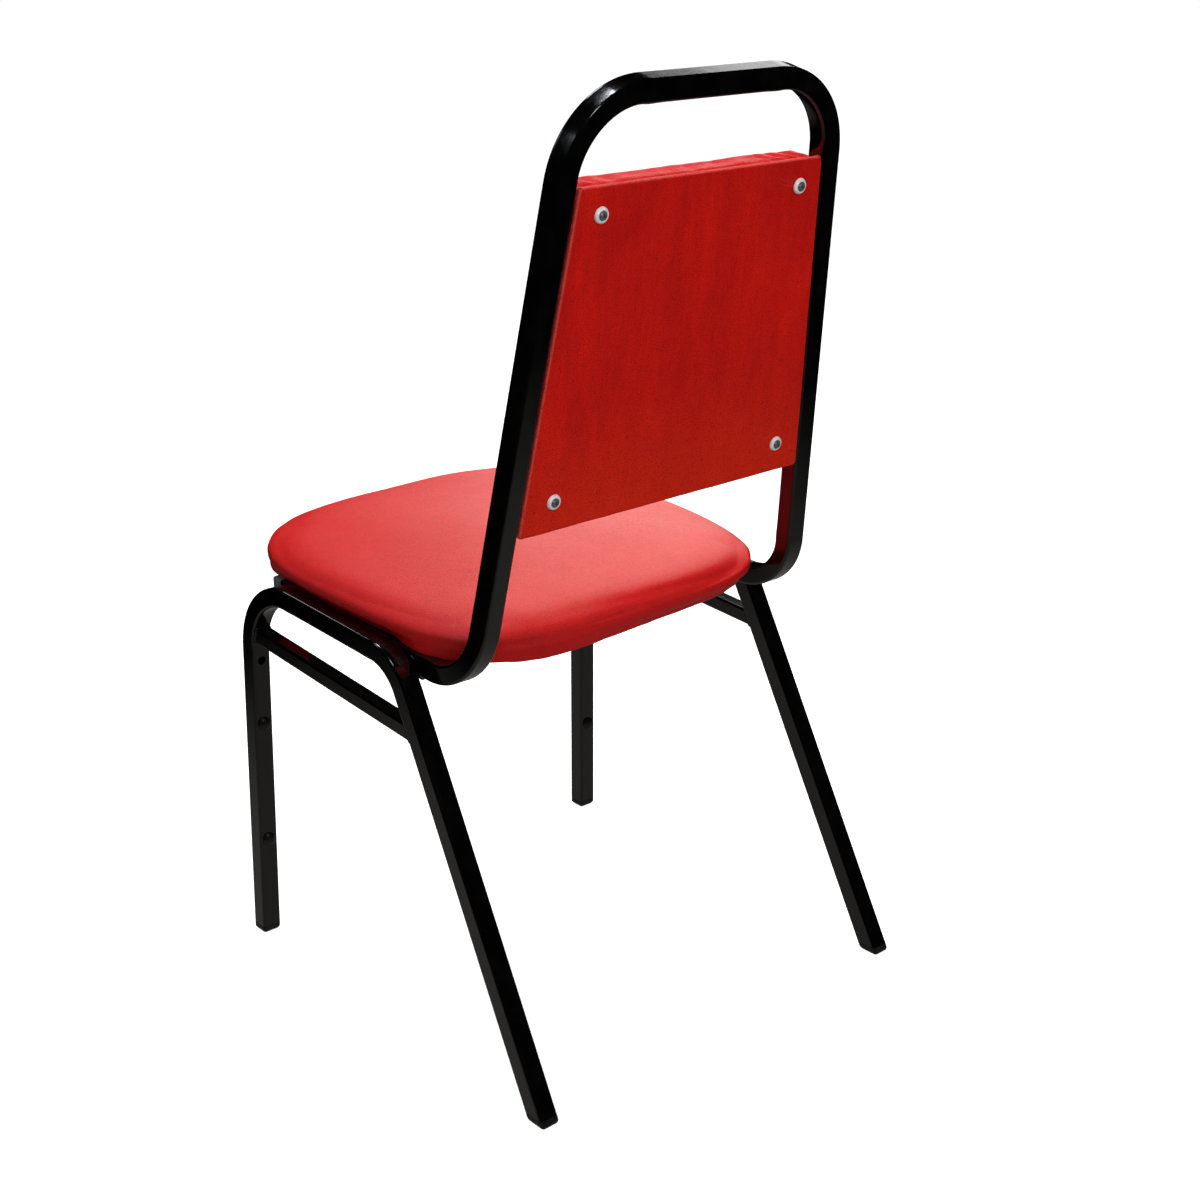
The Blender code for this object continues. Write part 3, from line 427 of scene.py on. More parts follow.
# ---------------------------------------------------------------- mesh helpers
def add_piece(name, mesh, look, replaces=(), levels=0):
    """One visible piece, on the chair's only body."""
    mesh.name = name
    obj = bpy.data.objects.new(name, mesh)
    mesh.materials.clear()
    mesh.materials.append(look)
    scene.collection.objects.link(obj)
    if levels:
        mod = obj.modifiers.new("Subdivision", "SUBSURF")
        mod.levels = mod.render_levels = levels
    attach(obj, "root")
    if replaces:
        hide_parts(*replaces)
    return obj


def shaded(mesh, degrees=50.0):
    mesh.shade_smooth()
    mesh.set_sharp_from_angle(angle=math.radians(degrees))
    return mesh


def outward(bm):
    """All faces turned outwards on a closed form."""
    bmesh.ops.recalc_face_normals(bm, faces=list(bm.faces))
    if bm.calc_volume(signed=True) < 0:
        bmesh.ops.reverse_faces(bm, faces=list(bm.faces))


def loft(rings, start=None, end=None, around=False):
    """Mesh through closed rings. An end is open, "flat", or a tip point."""
    bm = bmesh.new()
    rows = [[bm.verts.new(point) for point in ring] for ring in rings]
    pairs = list(zip(rows, rows[1:])) + ([(rows[-1], rows[0])] if around else [])
    for low, high in pairs:
        count = len(low)
        for i in range(count):
            j = (i + 1) % count
            bm.faces.new((low[i], low[j], high[j], high[i]))
    for row, way, flip in ((rows[0], start, True), (rows[-1], end, False)):
        if way is None:
            continue
        order = list(reversed(row)) if flip else list(row)
        if isinstance(way, str):
            bm.faces.new(order)
        else:
            tip = bm.verts.new(way)
            for i in range(len(order)):
                bm.faces.new((order[i], order[(i + 1) % len(order)], tip))
    if around or (start is not None and end is not None):
        outward(bm)
    mesh = bpy.data.meshes.new("loft")
    bm.to_mesh(mesh)
    bm.free()
    return mesh


def joined(meshes):
    """One mesh holding all of these."""
    bm = bmesh.new()
    for mesh in meshes:
        bm.from_mesh(mesh)
        bpy.data.meshes.remove(mesh)
    out = bpy.data.meshes.new("joined")
    bm.to_mesh(out)
    bm.free()
    return out


def frame_matrix(origin, z_axis, x_hint):
    z_axis = z_axis.normalized()
    y_axis = z_axis.cross(x_hint).normalized()
    x_axis = y_axis.cross(z_axis).normalized()
    out = Matrix((x_axis, y_axis, z_axis)).transposed().to_4x4()
    out.translation = origin
    return out


def turned(profile, matrix, steps=48, wobble=0.0):
    """Solid of revolution: profile points (r, z), from and to the axis, or a
    closed loop of points off the axis for a ring."""
    closed = abs(profile[0][0]) < 1e-7 and abs(profile[-1][0]) < 1e-7
    rings = []
    inner = profile[1:-1] if closed else profile
    for k, (r, z) in enumerate(inner):
        ring = []
        for i in range(steps):
            a = 2 * math.pi * i / steps
            rr = r * (1 + wobble * math.sin(3 * a + k * 0.15))
            ring.append(matrix @ Vector((rr * math.cos(a), rr * math.sin(a), z)))
        rings.append(ring)
    if closed:
        first = matrix @ Vector((0, 0, profile[0][1]))
        last = matrix @ Vector((0, 0, profile[-1][1]))
        return loft(rings, first, last)
    return loft(rings, around=True)


def rounded(points, radius_steps):
    """A (r, z) profile with each inner corner rounded: (radius, steps)."""
    out = [points[0]]
    for i in range(1, len(points) - 1):
        radius, steps = radius_steps.get(i, (0, 0))
        p = Vector((*points[i], 0))
        if radius <= 0:
            out.append(points[i])
            continue
        u = Vector((*points[i - 1], 0)) - p
        v = Vector((*points[i + 1], 0)) - p
        reach = min(radius, u.length * 0.45, v.length * 0.45)
        a, b = p + u.normalized() * reach, p + v.normalized() * reach
        for j in range(steps + 1):
            t = j / steps
            q = a * (1 - t) ** 2 + p * (2 * t * (1 - t)) + b * t * t
            out.append((q.x, q.y))
    out.append(points[-1])
    return out


def with_cut(mesh, cutters):
    """The mesh less some closed cutter meshes."""
    body = bpy.data.objects.new("cut_body", mesh)
    scene.collection.objects.link(body)
    helpers = []
    for cutter in cutters:
        helper = bpy.data.objects.new("cut_tool", cutter)
        scene.collection.objects.link(helper)
        helpers.append(helper)
        mod = body.modifiers.new("Cut", "BOOLEAN")
        mod.operation = "DIFFERENCE"
        mod.solver = "EXACT"
        mod.object = helper
    bpy.context.view_layer.update()
    graph = bpy.context.evaluated_depsgraph_get()
    out = bpy.data.meshes.new_from_object(body.evaluated_get(graph), depsgraph=graph)
    for obj in helpers + [body]:
        bpy.data.objects.remove(obj)
    return out


def wobble(point, size, amount, seed=0.0):
    """Smooth signed variation of a point's place."""
    return amount * noise.noise(Vector((point[0] + seed, point[1], point[2])) / size)


# ----------------------------------------------------------------- tube sweep
def tube_profile(side, radius):
    """Rounded square with extra points at the flats' ends, so that the flats
    stay flat when they are shaded, and along the flats, so that they can dish."""
    half = side / 2 - radius
    points = []
    for k, (sx, sy) in enumerate(((1, 1), (-1, 1), (-1, -1), (1, -1))):
        for j in range(6):
            angle = math.pi / 2 * (k + j / 5)
            points.append(
                (sx * half + radius * math.cos(angle), sy * half + radius * math.sin(angle))
            )
        nx, ny = ((-1, 1), (-1, -1), (1, -1), (1, 1))[k]
        x0, y0 = points[-1]
        if k % 2 == 0:
            stops = [(sx * (half - d), y0) for d in (0.05 * half, 0.45 * half, half)]
            stops += [(-sx * (half - d), y0) for d in (0.45 * half, 0.05 * half)]
        else:
            stops = [(x0, sy * (half - d)) for d in (0.05 * half, 0.45 * half, half)]
            stops += [(x0, -sy * (half - d)) for d in (0.45 * half, 0.05 * half)]
        points += stops
    return points


def bent_path(corners, radii, steps, kink):
    """Stations (point, tangent, bend, towards the bend's centre, kink)."""
    out = [(corners[0], (corners[1] - corners[0]).normalized(), 0.0, None, 0.0)]

    def bump(off):
        return kink * math.exp(-(((off - 4 * MM) / (9 * MM)) ** 2))

    offs = [k * 3 * MM for k in range(8, 0, -1)]
    for i in range(1, len(corners) - 1):
        before, at, after = corners[i - 1], corners[i], corners[i + 1]
        u = (before - at).normalized()
        v = (after - at).normalized()
        between = u.angle(v)
        radius = radii[i - 1]
        reach = radius / math.tan(between / 2)
        start = at + u * reach
        centre = at + (u + v).normalized() * (radius / math.sin(between / 2))
        e1 = (start - centre).normalized()
        axis = e1.cross((at + v * reach) - centre).normalized()
        e2 = axis.cross(e1)
        turn = math.pi - between
        for off in offs:
            out.append((start + u * off, -u, 0.0, -e1, bump(off)))
        for j in range(steps + 1):
            angle = turn * j / steps
            way = e1 * math.cos(angle) + e2 * math.sin(angle)
            run = min(angle, turn - angle) * radius
            out.append(
                (
                    centre + way * radius,
                    e2 * math.cos(angle) - e1 * math.sin(angle),
                    max(0.0, math.sin(math.pi * j / steps)) ** 0.7,
                    -way,
                    bump(-run),
                )
            )
        last = -(e1 * math.cos(turn) + e2 * math.sin(turn))
        for off in reversed(offs):
            out.append((at + v * reach + v * off, v, 0.0, last, bump(off)))
    out.append((corners[-1], (corners[-1] - corners[-2]).normalized(), 0.0, None, 0.0))
    return out


def tube_rings(stations, side, radius, side_axis, start_plane=None, end_plane=None, squash=0.0, dish=0.0, profile=None):
    profile = profile or tube_profile(side, radius)
    half = side / 2
    rings = []
    axis = side_axis - side_axis.dot(stations[0][1]) * stations[0][1]
    axis.normalize()
    previous = stations[0][1]
    for k, (point, tangent, bend, inward, kink) in enumerate(stations):
        axis = previous.rotation_difference(tangent) @ axis
        axis = (axis - axis.dot(tangent) * tangent).normalized()
        previous = tangent
        other = tangent.cross(axis).normalized()
        ring = []
        for a, b in profile:
            offset = axis * a + other * b
            if inward is not None:
                lateral = tangent.cross(inward).normalized()
                r, c = offset.dot(inward), offset.dot(lateral)
                hollow = max(0.0, 1 - (c / half) ** 2)
                r *= 1 - squash * bend
                c *= 1 + 0.3 * squash * bend
                if r > 0:
                    r -= dish * bend * (r / half) ** 2 * hollow
                    r += kink * (r / half) ** 1.5 * (0.4 + 0.6 * hollow)
                else:
                    r += 0.35 * dish * bend * (r / half) ** 2 * hollow
                offset = inward * r + lateral * c
            spot = point + offset
            plane = start_plane if k == 0 else end_plane if k == len(stations) - 1 else None
            if plane is not None:
                spot = spot + tangent * ((plane[0] - spot).dot(plane[1]) / tangent.dot(plane[1]))
            ring.append(spot)
        rings.append(ring)
    return rings


def hollow_tube(stations, side, radius, side_axis, start_plane, end_plane, squash=0.0, dish=0.0):
    outer = tube_rings(stations, side, radius, side_axis, start_plane, end_plane, squash, dish)
    inner = tube_rings(
        stations, side - 2 * WALL, radius - WALL, side_axis, start_plane, end_plane, squash, dish
    )
    return loft(outer + list(reversed(inner)), around=True)


# ------------------------------------------------------------------ leg frames
def leg_corners(side):
    return [
        V(side * FOOT_X, FRONT_FOOT_Y, 0),
        V(side * RAIL_X_FRONT, *FRONT_TOP),
        V(side * RAIL_X_REAR, *REAR_TOP),
        V(side * FOOT_X, REAR_FOOT_Y, 0),
    ]


def leg_axis(side, front):
    a, b, c, d = leg_corners(side)
    foot, top = (a, b) if front else (d, c)
    return foot, (top - foot).normalized()


def leg_point(side, front, z):
    foot, way = leg_axis(side, front)
    return foot + way * (z / way.z)


def inner_normal(side, front):
    way = leg_axis(side, front)[1]
    normal = way.cross(X_AXIS).normalized()
    if (normal.y < 0) == front:
        normal = -normal
    return normal


def leg_stations(side):
    return bent_path(leg_corners(side), (FRONT_BEND_R, REAR_BEND_R), 26, 0.5 * MM)


def leg_mesh(side):
    floor_plane = (V(0, 0, TUBE_FOOT_Z), UP)
    mesh = hollow_tube(
        leg_stations(side), TUBE, CORNER, X_AXIS, floor_plane, floor_plane, 0.045, 0.7 * MM
    )
    tools = []
    normal = inner_normal(side, True)
    spot = leg_point(side, True, DRAIN_Z) + normal * (TUBE / 2)
    matrix = frame_matrix(spot, normal, X_AXIS)
    tools.append(turned([(0, 3 * MM), (DRAIN_R, 3 * MM), (DRAIN_R, -4 * MM), (0, -4 * MM)], matrix, 40))
    for front, heights in ((True, FRONT_BUMPERS_Z), (False, REAR_BUMPERS_Z)):
        normal = inner_normal(side, front)
        for z in heights:
            spot = leg_point(side, front, z) + normal * (TUBE / 2)
            r = BUMPER_STEM_R + 0.3 * MM
            tools.append(
                turned([(0, 3 * MM), (r, 3 * MM), (r, -4 * MM), (0, -4 * MM)],
                       frame_matrix(spot, normal, X_AXIS), 24)
            )
    return shaded(with_cut(mesh, tools), 45)


def inner_face_point(side, front, z):
    """Point of the leg's inner face at a height, also where the leg bends."""
    stations = leg_stations(side)
    stations = stations[: len(stations) // 2] if front else stations[len(stations) // 2 :]
    spots = []
    for point, tangent, bend, inward, kink in stations:
        normal = tangent.cross(X_AXIS).normalized()
        if normal.z > 0 or (abs(normal.z) < 0.2 and (normal.y < 0) == front):
            normal = -normal
        if (normal.y < 0) == front and abs(normal.y) > 0.3:
            normal = -normal
        spots.append(point + normal * (TUBE / 2 * (1 - 0.045 * bend)))
    spots.sort(key=lambda spot: spot.z)
    for low, high in zip(spots, spots[1:]):
        if low.z <= z <= high.z:
            return low.lerp(high, (z - low.z) / max(high.z - low.z, 1e-9))
    return spots[-1]


def brace_ends(side):
    ends = []
    for front, z in ((True, BRACE_FRONT_Z), (False, BRACE_REAR_Z)):
        centre = leg_point(side, front, z)
        low = inner_face_point(side, front, z - BRACE * 0.6)
        high = inner_face_point(side, front, z + BRACE * 0.6)
        normal = (high - low).cross(X_AXIS).normalized()
        if (normal.y < 0) == front:
            normal = -normal
        ends.append((centre, (low + normal * 0.2 * MM, normal)))
    return ends


def bead(points, radius, seed, ripple=2.3 * MM, step=0.55 * MM, sides=10, taper=True):
    """A weld bead along a path: overlapping puddles, never quite even."""
    runs = [0.0]
    for a, b in zip(points, points[1:]):
        runs.append(runs[-1] + (b - a).length)
    count = max(6, int(runs[-1] / step))
    rings = []
    k = 0
    for i in range(count + 1):
        want = runs[-1] * i / count
        while k < len(points) - 2 and runs[k + 1] < want:
            k += 1
        share = (want - runs[k]) / max(runs[k + 1] - runs[k], 1e-9)
        centre = points[k].lerp(points[k + 1], share)
        tangent = (points[k + 1] - points[k]).normalized()
        hint = UP if abs(tangent.z) < 0.8 else X_AXIS
        a = tangent.cross(hint).normalized()
        b = tangent.cross(a).normalized()
        phase = (want / ripple) % 1.0
        r = radius * (0.82 + 0.22 * math.sqrt(max(0.0, 1 - (2 * phase - 1) ** 2)))
        r *= 1 + 0.16 * noise.noise(Vector((want / (5 * MM), seed, 0.3)))
        centre = centre + (a * noise.noise(Vector((want / (7 * MM), seed, 4.0)))
                           + b * noise.noise(Vector((want / (7 * MM), seed, 9.0)))) * radius * 0.22
        if taper:
            edge = min(want, runs[-1] - want)
            r *= min(1.0, 0.25 + 0.75 * edge / (radius * 1.4))
        rings.append(
            [centre + (a * math.cos(t) + b * math.sin(t)) * r
             for t in (2 * math.pi * j / sides for j in range(sides))]
        )
    return shaded(loft(rings, sum(rings[0], Vector()) / sides, sum(rings[-1], Vector()) / sides), 60)


def glide_mesh(side, front):
    """Leg cap: a flush collar, a rounded foot and a stub inside the tube."""
    foot, way = leg_axis(side, front)

    def ring(z, inset, inner=False):
        size = TUBE - 2 * inset
        radius = max(CORNER - inset * 0.35, 0.9 * MM)
        if inner:
            size = TUBE - 2 * WALL - 0.6 * MM
            radius = 1.2 * MM
        stations = [(foot - way * 0.02, way, 0.0, None, 0.0), (foot + way * 0.05, way, 0.0, None, 0.0)]
        return tube_rings(stations, size, radius, X_AXIS, start_plane=(V(0, 0, z), UP))[0]

    top = TUBE_FOOT_Z - 0.15 * MM
    rings = []
    for k in range(9):
        a = math.pi / 2 * k / 8
        rings.append(ring(4.0 * MM * (1 - math.sin(a)), 4.2 * MM * (1 - math.cos(a)) if k else 4.2 * MM * 0))
    rings = [ring(0.0, 4.6 * MM)]
    for k in range(1, 9):
        a = math.pi / 2 * k / 8
        rings.append(ring(4.4 * MM * (1 - math.cos(a)), 4.4 * MM * (1 - math.sin(a))))
    rings += [
        ring(top - 1.3 * MM, 0.0),
        ring(top - 0.55 * MM, 0.0),
        ring(top - 0.15 * MM, 0.18 * MM),
        ring(top, 0.5 * MM),
        ring(top, 0.0, inner=True),
        ring(top + 13 * MM, 0.0, inner=True),
        ring(top + 14 * MM, 0.0, inner=True),
    ]
    return shaded(loft(rings, "flat", "flat"), 42)


def bumper_mesh(side, front, z, seed):
    normal = inner_normal(side, front)
    spot = leg_point(side, front, z) + normal * (TUBE / 2 + 0.05 * MM)
    dome = [(0, BUMPER_H)]
    for k in range(1, 13):
        a = math.pi / 2 * k / 12
        dome.append((BUMPER_R * 0.97 * math.sin(a) ** 0.92, 0.9 * MM + (BUMPER_H - 0.9 * MM) * math.cos(a)))
    dome += [
        (BUMPER_R * 0.985, 0.75 * MM),
        (BUMPER_R, 0.55 * MM),
        (BUMPER_R, 0.12 * MM),
        (BUMPER_R * 0.985, 0.0),
        (BUMPER_STEM_R, 0.0),
        (BUMPER_STEM_R, -5.0 * MM),
        (BUMPER_STEM_R * 0.6, -6.0 * MM),
        (0, -6.0 * MM),
    ]
    return shaded(turned(dome, frame_matrix(spot, normal, X_AXIS), 40, 0.004), 40)


weld_meshes = []
for word, side in SIDES:
    add_piece("leg_tube_" + word, leg_mesh(side), PAINT, ["leg_frame_" + word])
    ends = brace_ends(side)
    way = (ends[1][0] - ends[0][0]).normalized()
    stations = [(ends[0][0], way, 0.0, None, 0.0), (ends[1][0], way, 0.0, None, 0.0)]
    mesh = hollow_tube(stations, BRACE, BRACE_CORNER, X_AXIS, ends[0][1], ends[1][1])
    add_piece("brace_tube_" + word, shaded(mesh, 45), PAINT, ["side_brace_" + word])
    rim = tube_profile(BRACE + 0.7 * MM, BRACE_CORNER + 0.4 * MM)
    for k, (plane, name) in enumerate(((ends[0][1], "front"), (ends[1][1], "rear"))):
        path = tube_rings(stations, BRACE + 0.6 * MM, BRACE_CORNER, X_AXIS, ends[0][1], ends[1][1])
        loop = list(path[0] if k == 0 else path[-1])
        shift = plane[1] * 0.35 * MM
        loop = [p + shift for p in loop]
        weld_meshes.append(bead(loop + [loop[0]], 1.35 * MM, 3.0 * k + side, taper=False))
    for end, front, heights in (("front", True, FRONT_BUMPERS_Z), ("rear", False, REAR_BUMPERS_Z)):
        add_piece(
            f"glide_{end}_{word}", glide_mesh(side, front), GLIDE_PLASTIC,
            [f"foot_glide_{end}_{word}"],
        )
        for level, z in zip(("upper", "lower"), heights):
            add_piece(
                f"bumper_{end}_{word}_{level}", bumper_mesh(side, front, z, z), BLACK_PLASTIC,
                [f"stack_bumper_{end}_{word}_{level}"],
            )


# ------------------------------------------------------------------- back hoop
def hoop_rail_z(y):
    return HOOP_RAIL_Z + RAIL_SLOPE * (y - 100 * MM)


def hoop_rail_x(y):
    t = (y - HOOP_END_Y) / (HOOP_LOW[1] - HOOP_END_Y)
    return HOOP_RAIL_X_FRONT + (HOOP_LOW[0] - HOOP_RAIL_X_FRONT) * t


def hoop_corners():
    left = [
        V(HOOP_RAIL_X_FRONT, HOOP_END_Y, hoop_rail_z(HOOP_END_Y)),
        V(HOOP_LOW[0], HOOP_LOW[1], hoop_rail_z(HOOP_LOW[1])),
        V(*HOOP_TOP),
    ]
    return left + [Vector((-p.x, p.y, p.z)) for p in reversed(left)]


def hoop_end_plane(side, push=0.0):
    at = V(side * HOOP_RAIL_X_FRONT, HOOP_END_Y - push, hoop_rail_z(HOOP_END_Y - push))
    return at, Vector((0, -1, 0))


rail_normal = Vector((0, -RAIL_SLOPE, 1)).normalized()
seat_screw_frames = []
for word, side in SIDES:
    for end, y in zip(("front", "rear"), SEAT_SCREW_Y):
        spot = V(side * hoop_rail_x(y), y, hoop_rail_z(y))
        seat_screw_frames.append((f"seat_screw_{end}_{word}", frame_matrix(spot, rail_normal, X_AXIS)))

hoop_mesh = hollow_tube(
    bent_path(hoop_corners(), (HOOP_LOW_R, ARCH_R, ARCH_R, HOOP_LOW_R), 30, 0.6 * MM),
    TUBE, CORNER, X_AXIS, hoop_end_plane(1), hoop_end_plane(-1), 0.07, 0.9 * MM,
)
hoop_mesh = with_cut(
    hoop_mesh,
    [
        turned([(0, 14 * MM), (2.5 * MM, 14 * MM), (2.5 * MM, -14 * MM), (0, -14 * MM)], m, 24)
        for name, m in seat_screw_frames
    ],
)
add_piece("hoop_tube", shaded(hoop_mesh, 45), PAINT, ["back_hoop"])


def plug_mesh(side):
    at = V(side * HOOP_RAIL_X_FRONT, HOOP_END_Y, hoop_rail_z(HOOP_END_Y))
    corners = hoop_corners()
    way = ((corners[0] - corners[1]) if side > 0 else (corners[-1] - corners[-2])).normalized()

    def ring(push, inset, inner=False):
        size = TUBE - 2 * inset
        radius = max(CORNER - inset * 0.3, 0.9 * MM)
        if inner:
            size, radius = TUBE - 2 * WALL - 0.6 * MM, 1.2 * MM
        stations = [(at, way, 0.0, None, 0.0), (at + way * 0.05, way, 0.0, None, 0.0)]
        return tube_rings(stations, size, radius, X_AXIS, start_plane=hoop_end_plane(side, push))[0]

    rings = [ring(-15 * MM, 0, True), ring(0.25 * MM, 0, True), ring(0.25 * MM, 0.35 * MM)]
    rings += [ring(0.6 * MM, 0.05 * MM), ring(1.6 * MM, 0.1 * MM), ring(PLUG_HEAD - 5.0 * MM, 0.25 * MM)]
    for k in range(1, 7):
        a = math.pi / 2 * k / 6
        rings.append(ring(PLUG_HEAD - 5.0 * MM + 5.0 * MM * math.sin(a), 0.25 * MM + 4.9 * MM * (1 - math.cos(a))))
    return shaded(loft(rings, "flat", "flat"), 42)


for word, side in SIDES:
    add_piece("rail_plug_" + word, plug_mesh(side), GREY_PLASTIC, ["rail_end_plug_" + word])

# weld seams between the hoop's seat rails and the leg frames
for word, side in SIDES:
    def leg_rail_z(y):
        t = (y - FRONT_TOP[0]) / (REAR_TOP[0] - FRONT_TOP[0])
        return FRONT_TOP[1] + (REAR_TOP[1] - FRONT_TOP[1]) * t

    for k, (y0, y1) in enumerate(((-118, -84), (-34, 0), (26, 56))):
        path = [
            V(side * 200.9 * MM, y * MM, leg_rail_z(y * MM) - TUBE / 2 + 0.5 * MM)
            for y in np.linspace(y0, y1, 12)
        ]
        weld_meshes.append(bead(path, 1.9 * MM, 10.0 + k + side))
    # along the hoop's lower corner, where the rear leg leaves it
    low = [
        V(side * 199.6 * MM, y * MM, hoop_rail_z(y * MM) - TUBE / 2 + 0.35 * MM)
        for y in np.linspace(72, 100, 12)
    ]
    weld_meshes.append(bead(low, 1.7 * MM, 20.0 + side))


# ------------------------------------------------------------ back coordinates
back_low = V(0, HOOP_LOW[1], hoop_rail_z(HOOP_LOW[1]))
back_up = (V(0, HOOP_TOP[1], HOOP_TOP[2]) - back_low).normalized()
back_out = back_up.cross(X_AXIS).normalized()
if back_out.y < 0:
    back_out = -back_out
back_zero = back_low + back_up * ((373.3 * MM - back_low.z) / back_up.z)


def B(x, s, d):
    return back_zero + X_AXIS * x + back_up * s + back_out * d


def back_matrix(x, s, d):
    return frame_matrix(B(x, s, d), back_out, X_AXIS)


def upright_x(s):
    low, top = hoop_corners()[1:3]
    z = B(0, s, 0).z
    return low.x + (top.x - low.x) * (z - low.z) / (top.z - low.z)


for word, side in SIDES:
    for x, s in (SCREW_TOP, SCREW_LOW):
        for d in (TAB_D - TAB_THICK, TAB_D):
            half = TAB_WIDE / 2 - 2 * MM
            path = [
                B(side * (upright_x(s + t * half) - TUBE / 2 - 0.2 * MM), s + t * half, d)
                for t in np.linspace(-1, 1, 10)
            ]
            weld_meshes.append(bead(path, 1.0 * MM, 30.0 + s * 100 + d * 1000 + side))
add_piece("weld_beads", joined(weld_meshes), WELD)


# --------------------------------------------------- padded and covered forms
class Outline:
    """A closed plan curve, read by side and place between four corner marks."""

    def __init__(self, points, marks):
        self.points = [Vector((x, y)) for x, y in points]
        self.runs = [0.0]
        count = len(self.points)
        for i in range(count):
            self.runs.append(self.runs[-1] + (self.points[(i + 1) % count] - self.points[i]).length)
        self.marks = marks

    def at(self, side, t, crowd):
        """t runs from -1 at one corner to 1 at the next. crowd draws the
        points towards the corners."""
        u = (1 - crowd) * t + crowd * math.sin(math.pi / 2 * t)
        total = self.runs[-1]
        a = self.runs[self.marks[side]]
        b = self.runs[self.marks[(side + 1) % 4]]
        if b <= a:
            b += total
        want = (a + (b - a) * (u + 1) / 2) % total
        low, high = 0, len(self.points)
        while high - low > 1:
            middle = (low + high) // 2
            if self.runs[middle] <= want:
                low = middle
            else:
                high = middle
        share = (want - self.runs[low]) / max(self.runs[low + 1] - self.runs[low], 1e-12)
        return self.points[low].lerp(self.points[(low + 1) % len(self.points)], share)


def square_step(i, j):
    """Ring number, side and place of a grid point on concentric squares."""
    k = max(abs(i), abs(j))
    if k == 0:
        return 0, 0, 0.0
    if i == k and j < k:
        return k, 0, j / k
    if j == k and i > -k:
        return k, 1, -i / k
    if i == -k and j > -k:
        return k, 2, -j / k
    return k, 3, i / k


def covered_form(size, crowd, top_ring, rows, place):
    """A dome of even quads: a square grid inside, rows of points outside.

    top_ring(share) gives (outline, height, scale) for a ring of the grid,
    share 1 at its rim; rows is the list of (outline, height) from the first
    row outside the grid to the last; place(plan point, height) gives the
    point in space. Returns (mesh, row number of each vertex)."""
    bm = bmesh.new()
    grid = {}
    level = {}
    for i in range(-size, size + 1):
        for j in range(-size, size + 1):
            k, side, t = square_step(i, j)
            outline, height, scale, centre = top_ring(k / size)
            plan = outline.at(side, t, crowd) if k else centre.copy()
            plan = centre + (plan - centre) * scale if k else plan
            vert = bm.verts.new(place(plan, height))
            grid[i, j] = vert
            level[vert] = -(size - k)
    for i in range(-size, size):
        for j in range(-size, size):
            bm.faces.new((grid[i, j], grid[i + 1, j], grid[i + 1, j + 1], grid[i, j + 1]))
    rim = []
    for i in range(-size, size):
        rim.append(((size, i), (0, i / size)))
    for i in range(size, -size, -1):
        rim.append(((i, size), (1, -i / size)))
    for i in range(size, -size, -1):
        rim.append(((-size, i), (2, -i / size)))
    for i in range(-size, size):
        rim.append(((i, -size), (3, i / size)))
    before = [grid[key] for key, spot in rim]
    for number, (outline, height) in enumerate(rows, 1):
        row = []
        for key, (side, t) in rim:
            vert = bm.verts.new(place(outline.at(side, t, crowd), height))
            level[vert] = number
            row.append(vert)
        for i in range(len(row)):
            j = (i + 1) % len(row)
            bm.faces.new((before[j], before[i], row[i], row[j]))
        before = row
    bmesh.ops.recalc_face_normals(bm, faces=list(bm.faces))
    bm.verts.index_update()
    levels = [0] * len(bm.verts)
    for vert, number in level.items():
        levels[vert.index] = number
    middle = grid[0, 0]
    bm.normal_update()
    if middle.normal.dot(place(Vector((0, 0)), 1.0) - place(Vector((0, 0)), 0.0)) < 0:
        bmesh.ops.reverse_faces(bm, faces=list(bm.faces))
    mesh = bpy.data.meshes.new("form")
    bm.to_mesh(mesh)
    bm.free()
    return mesh, levels


def read(mesh):
    co = np.empty(len(mesh.vertices) * 3, np.float32)
    mesh.vertices.foreach_get("co", co)
    return co.reshape(-1, 3).astype(float)


def write(mesh, co):
    mesh.vertices.foreach_set("co", co.astype(np.float32).reshape(-1))
    mesh.update()


def normals(mesh):
    out = np.empty(len(mesh.vertices) * 3, np.float32)
    mesh.vertices.foreach_get("normal", out)
    return out.reshape(-1, 3).astype(float)


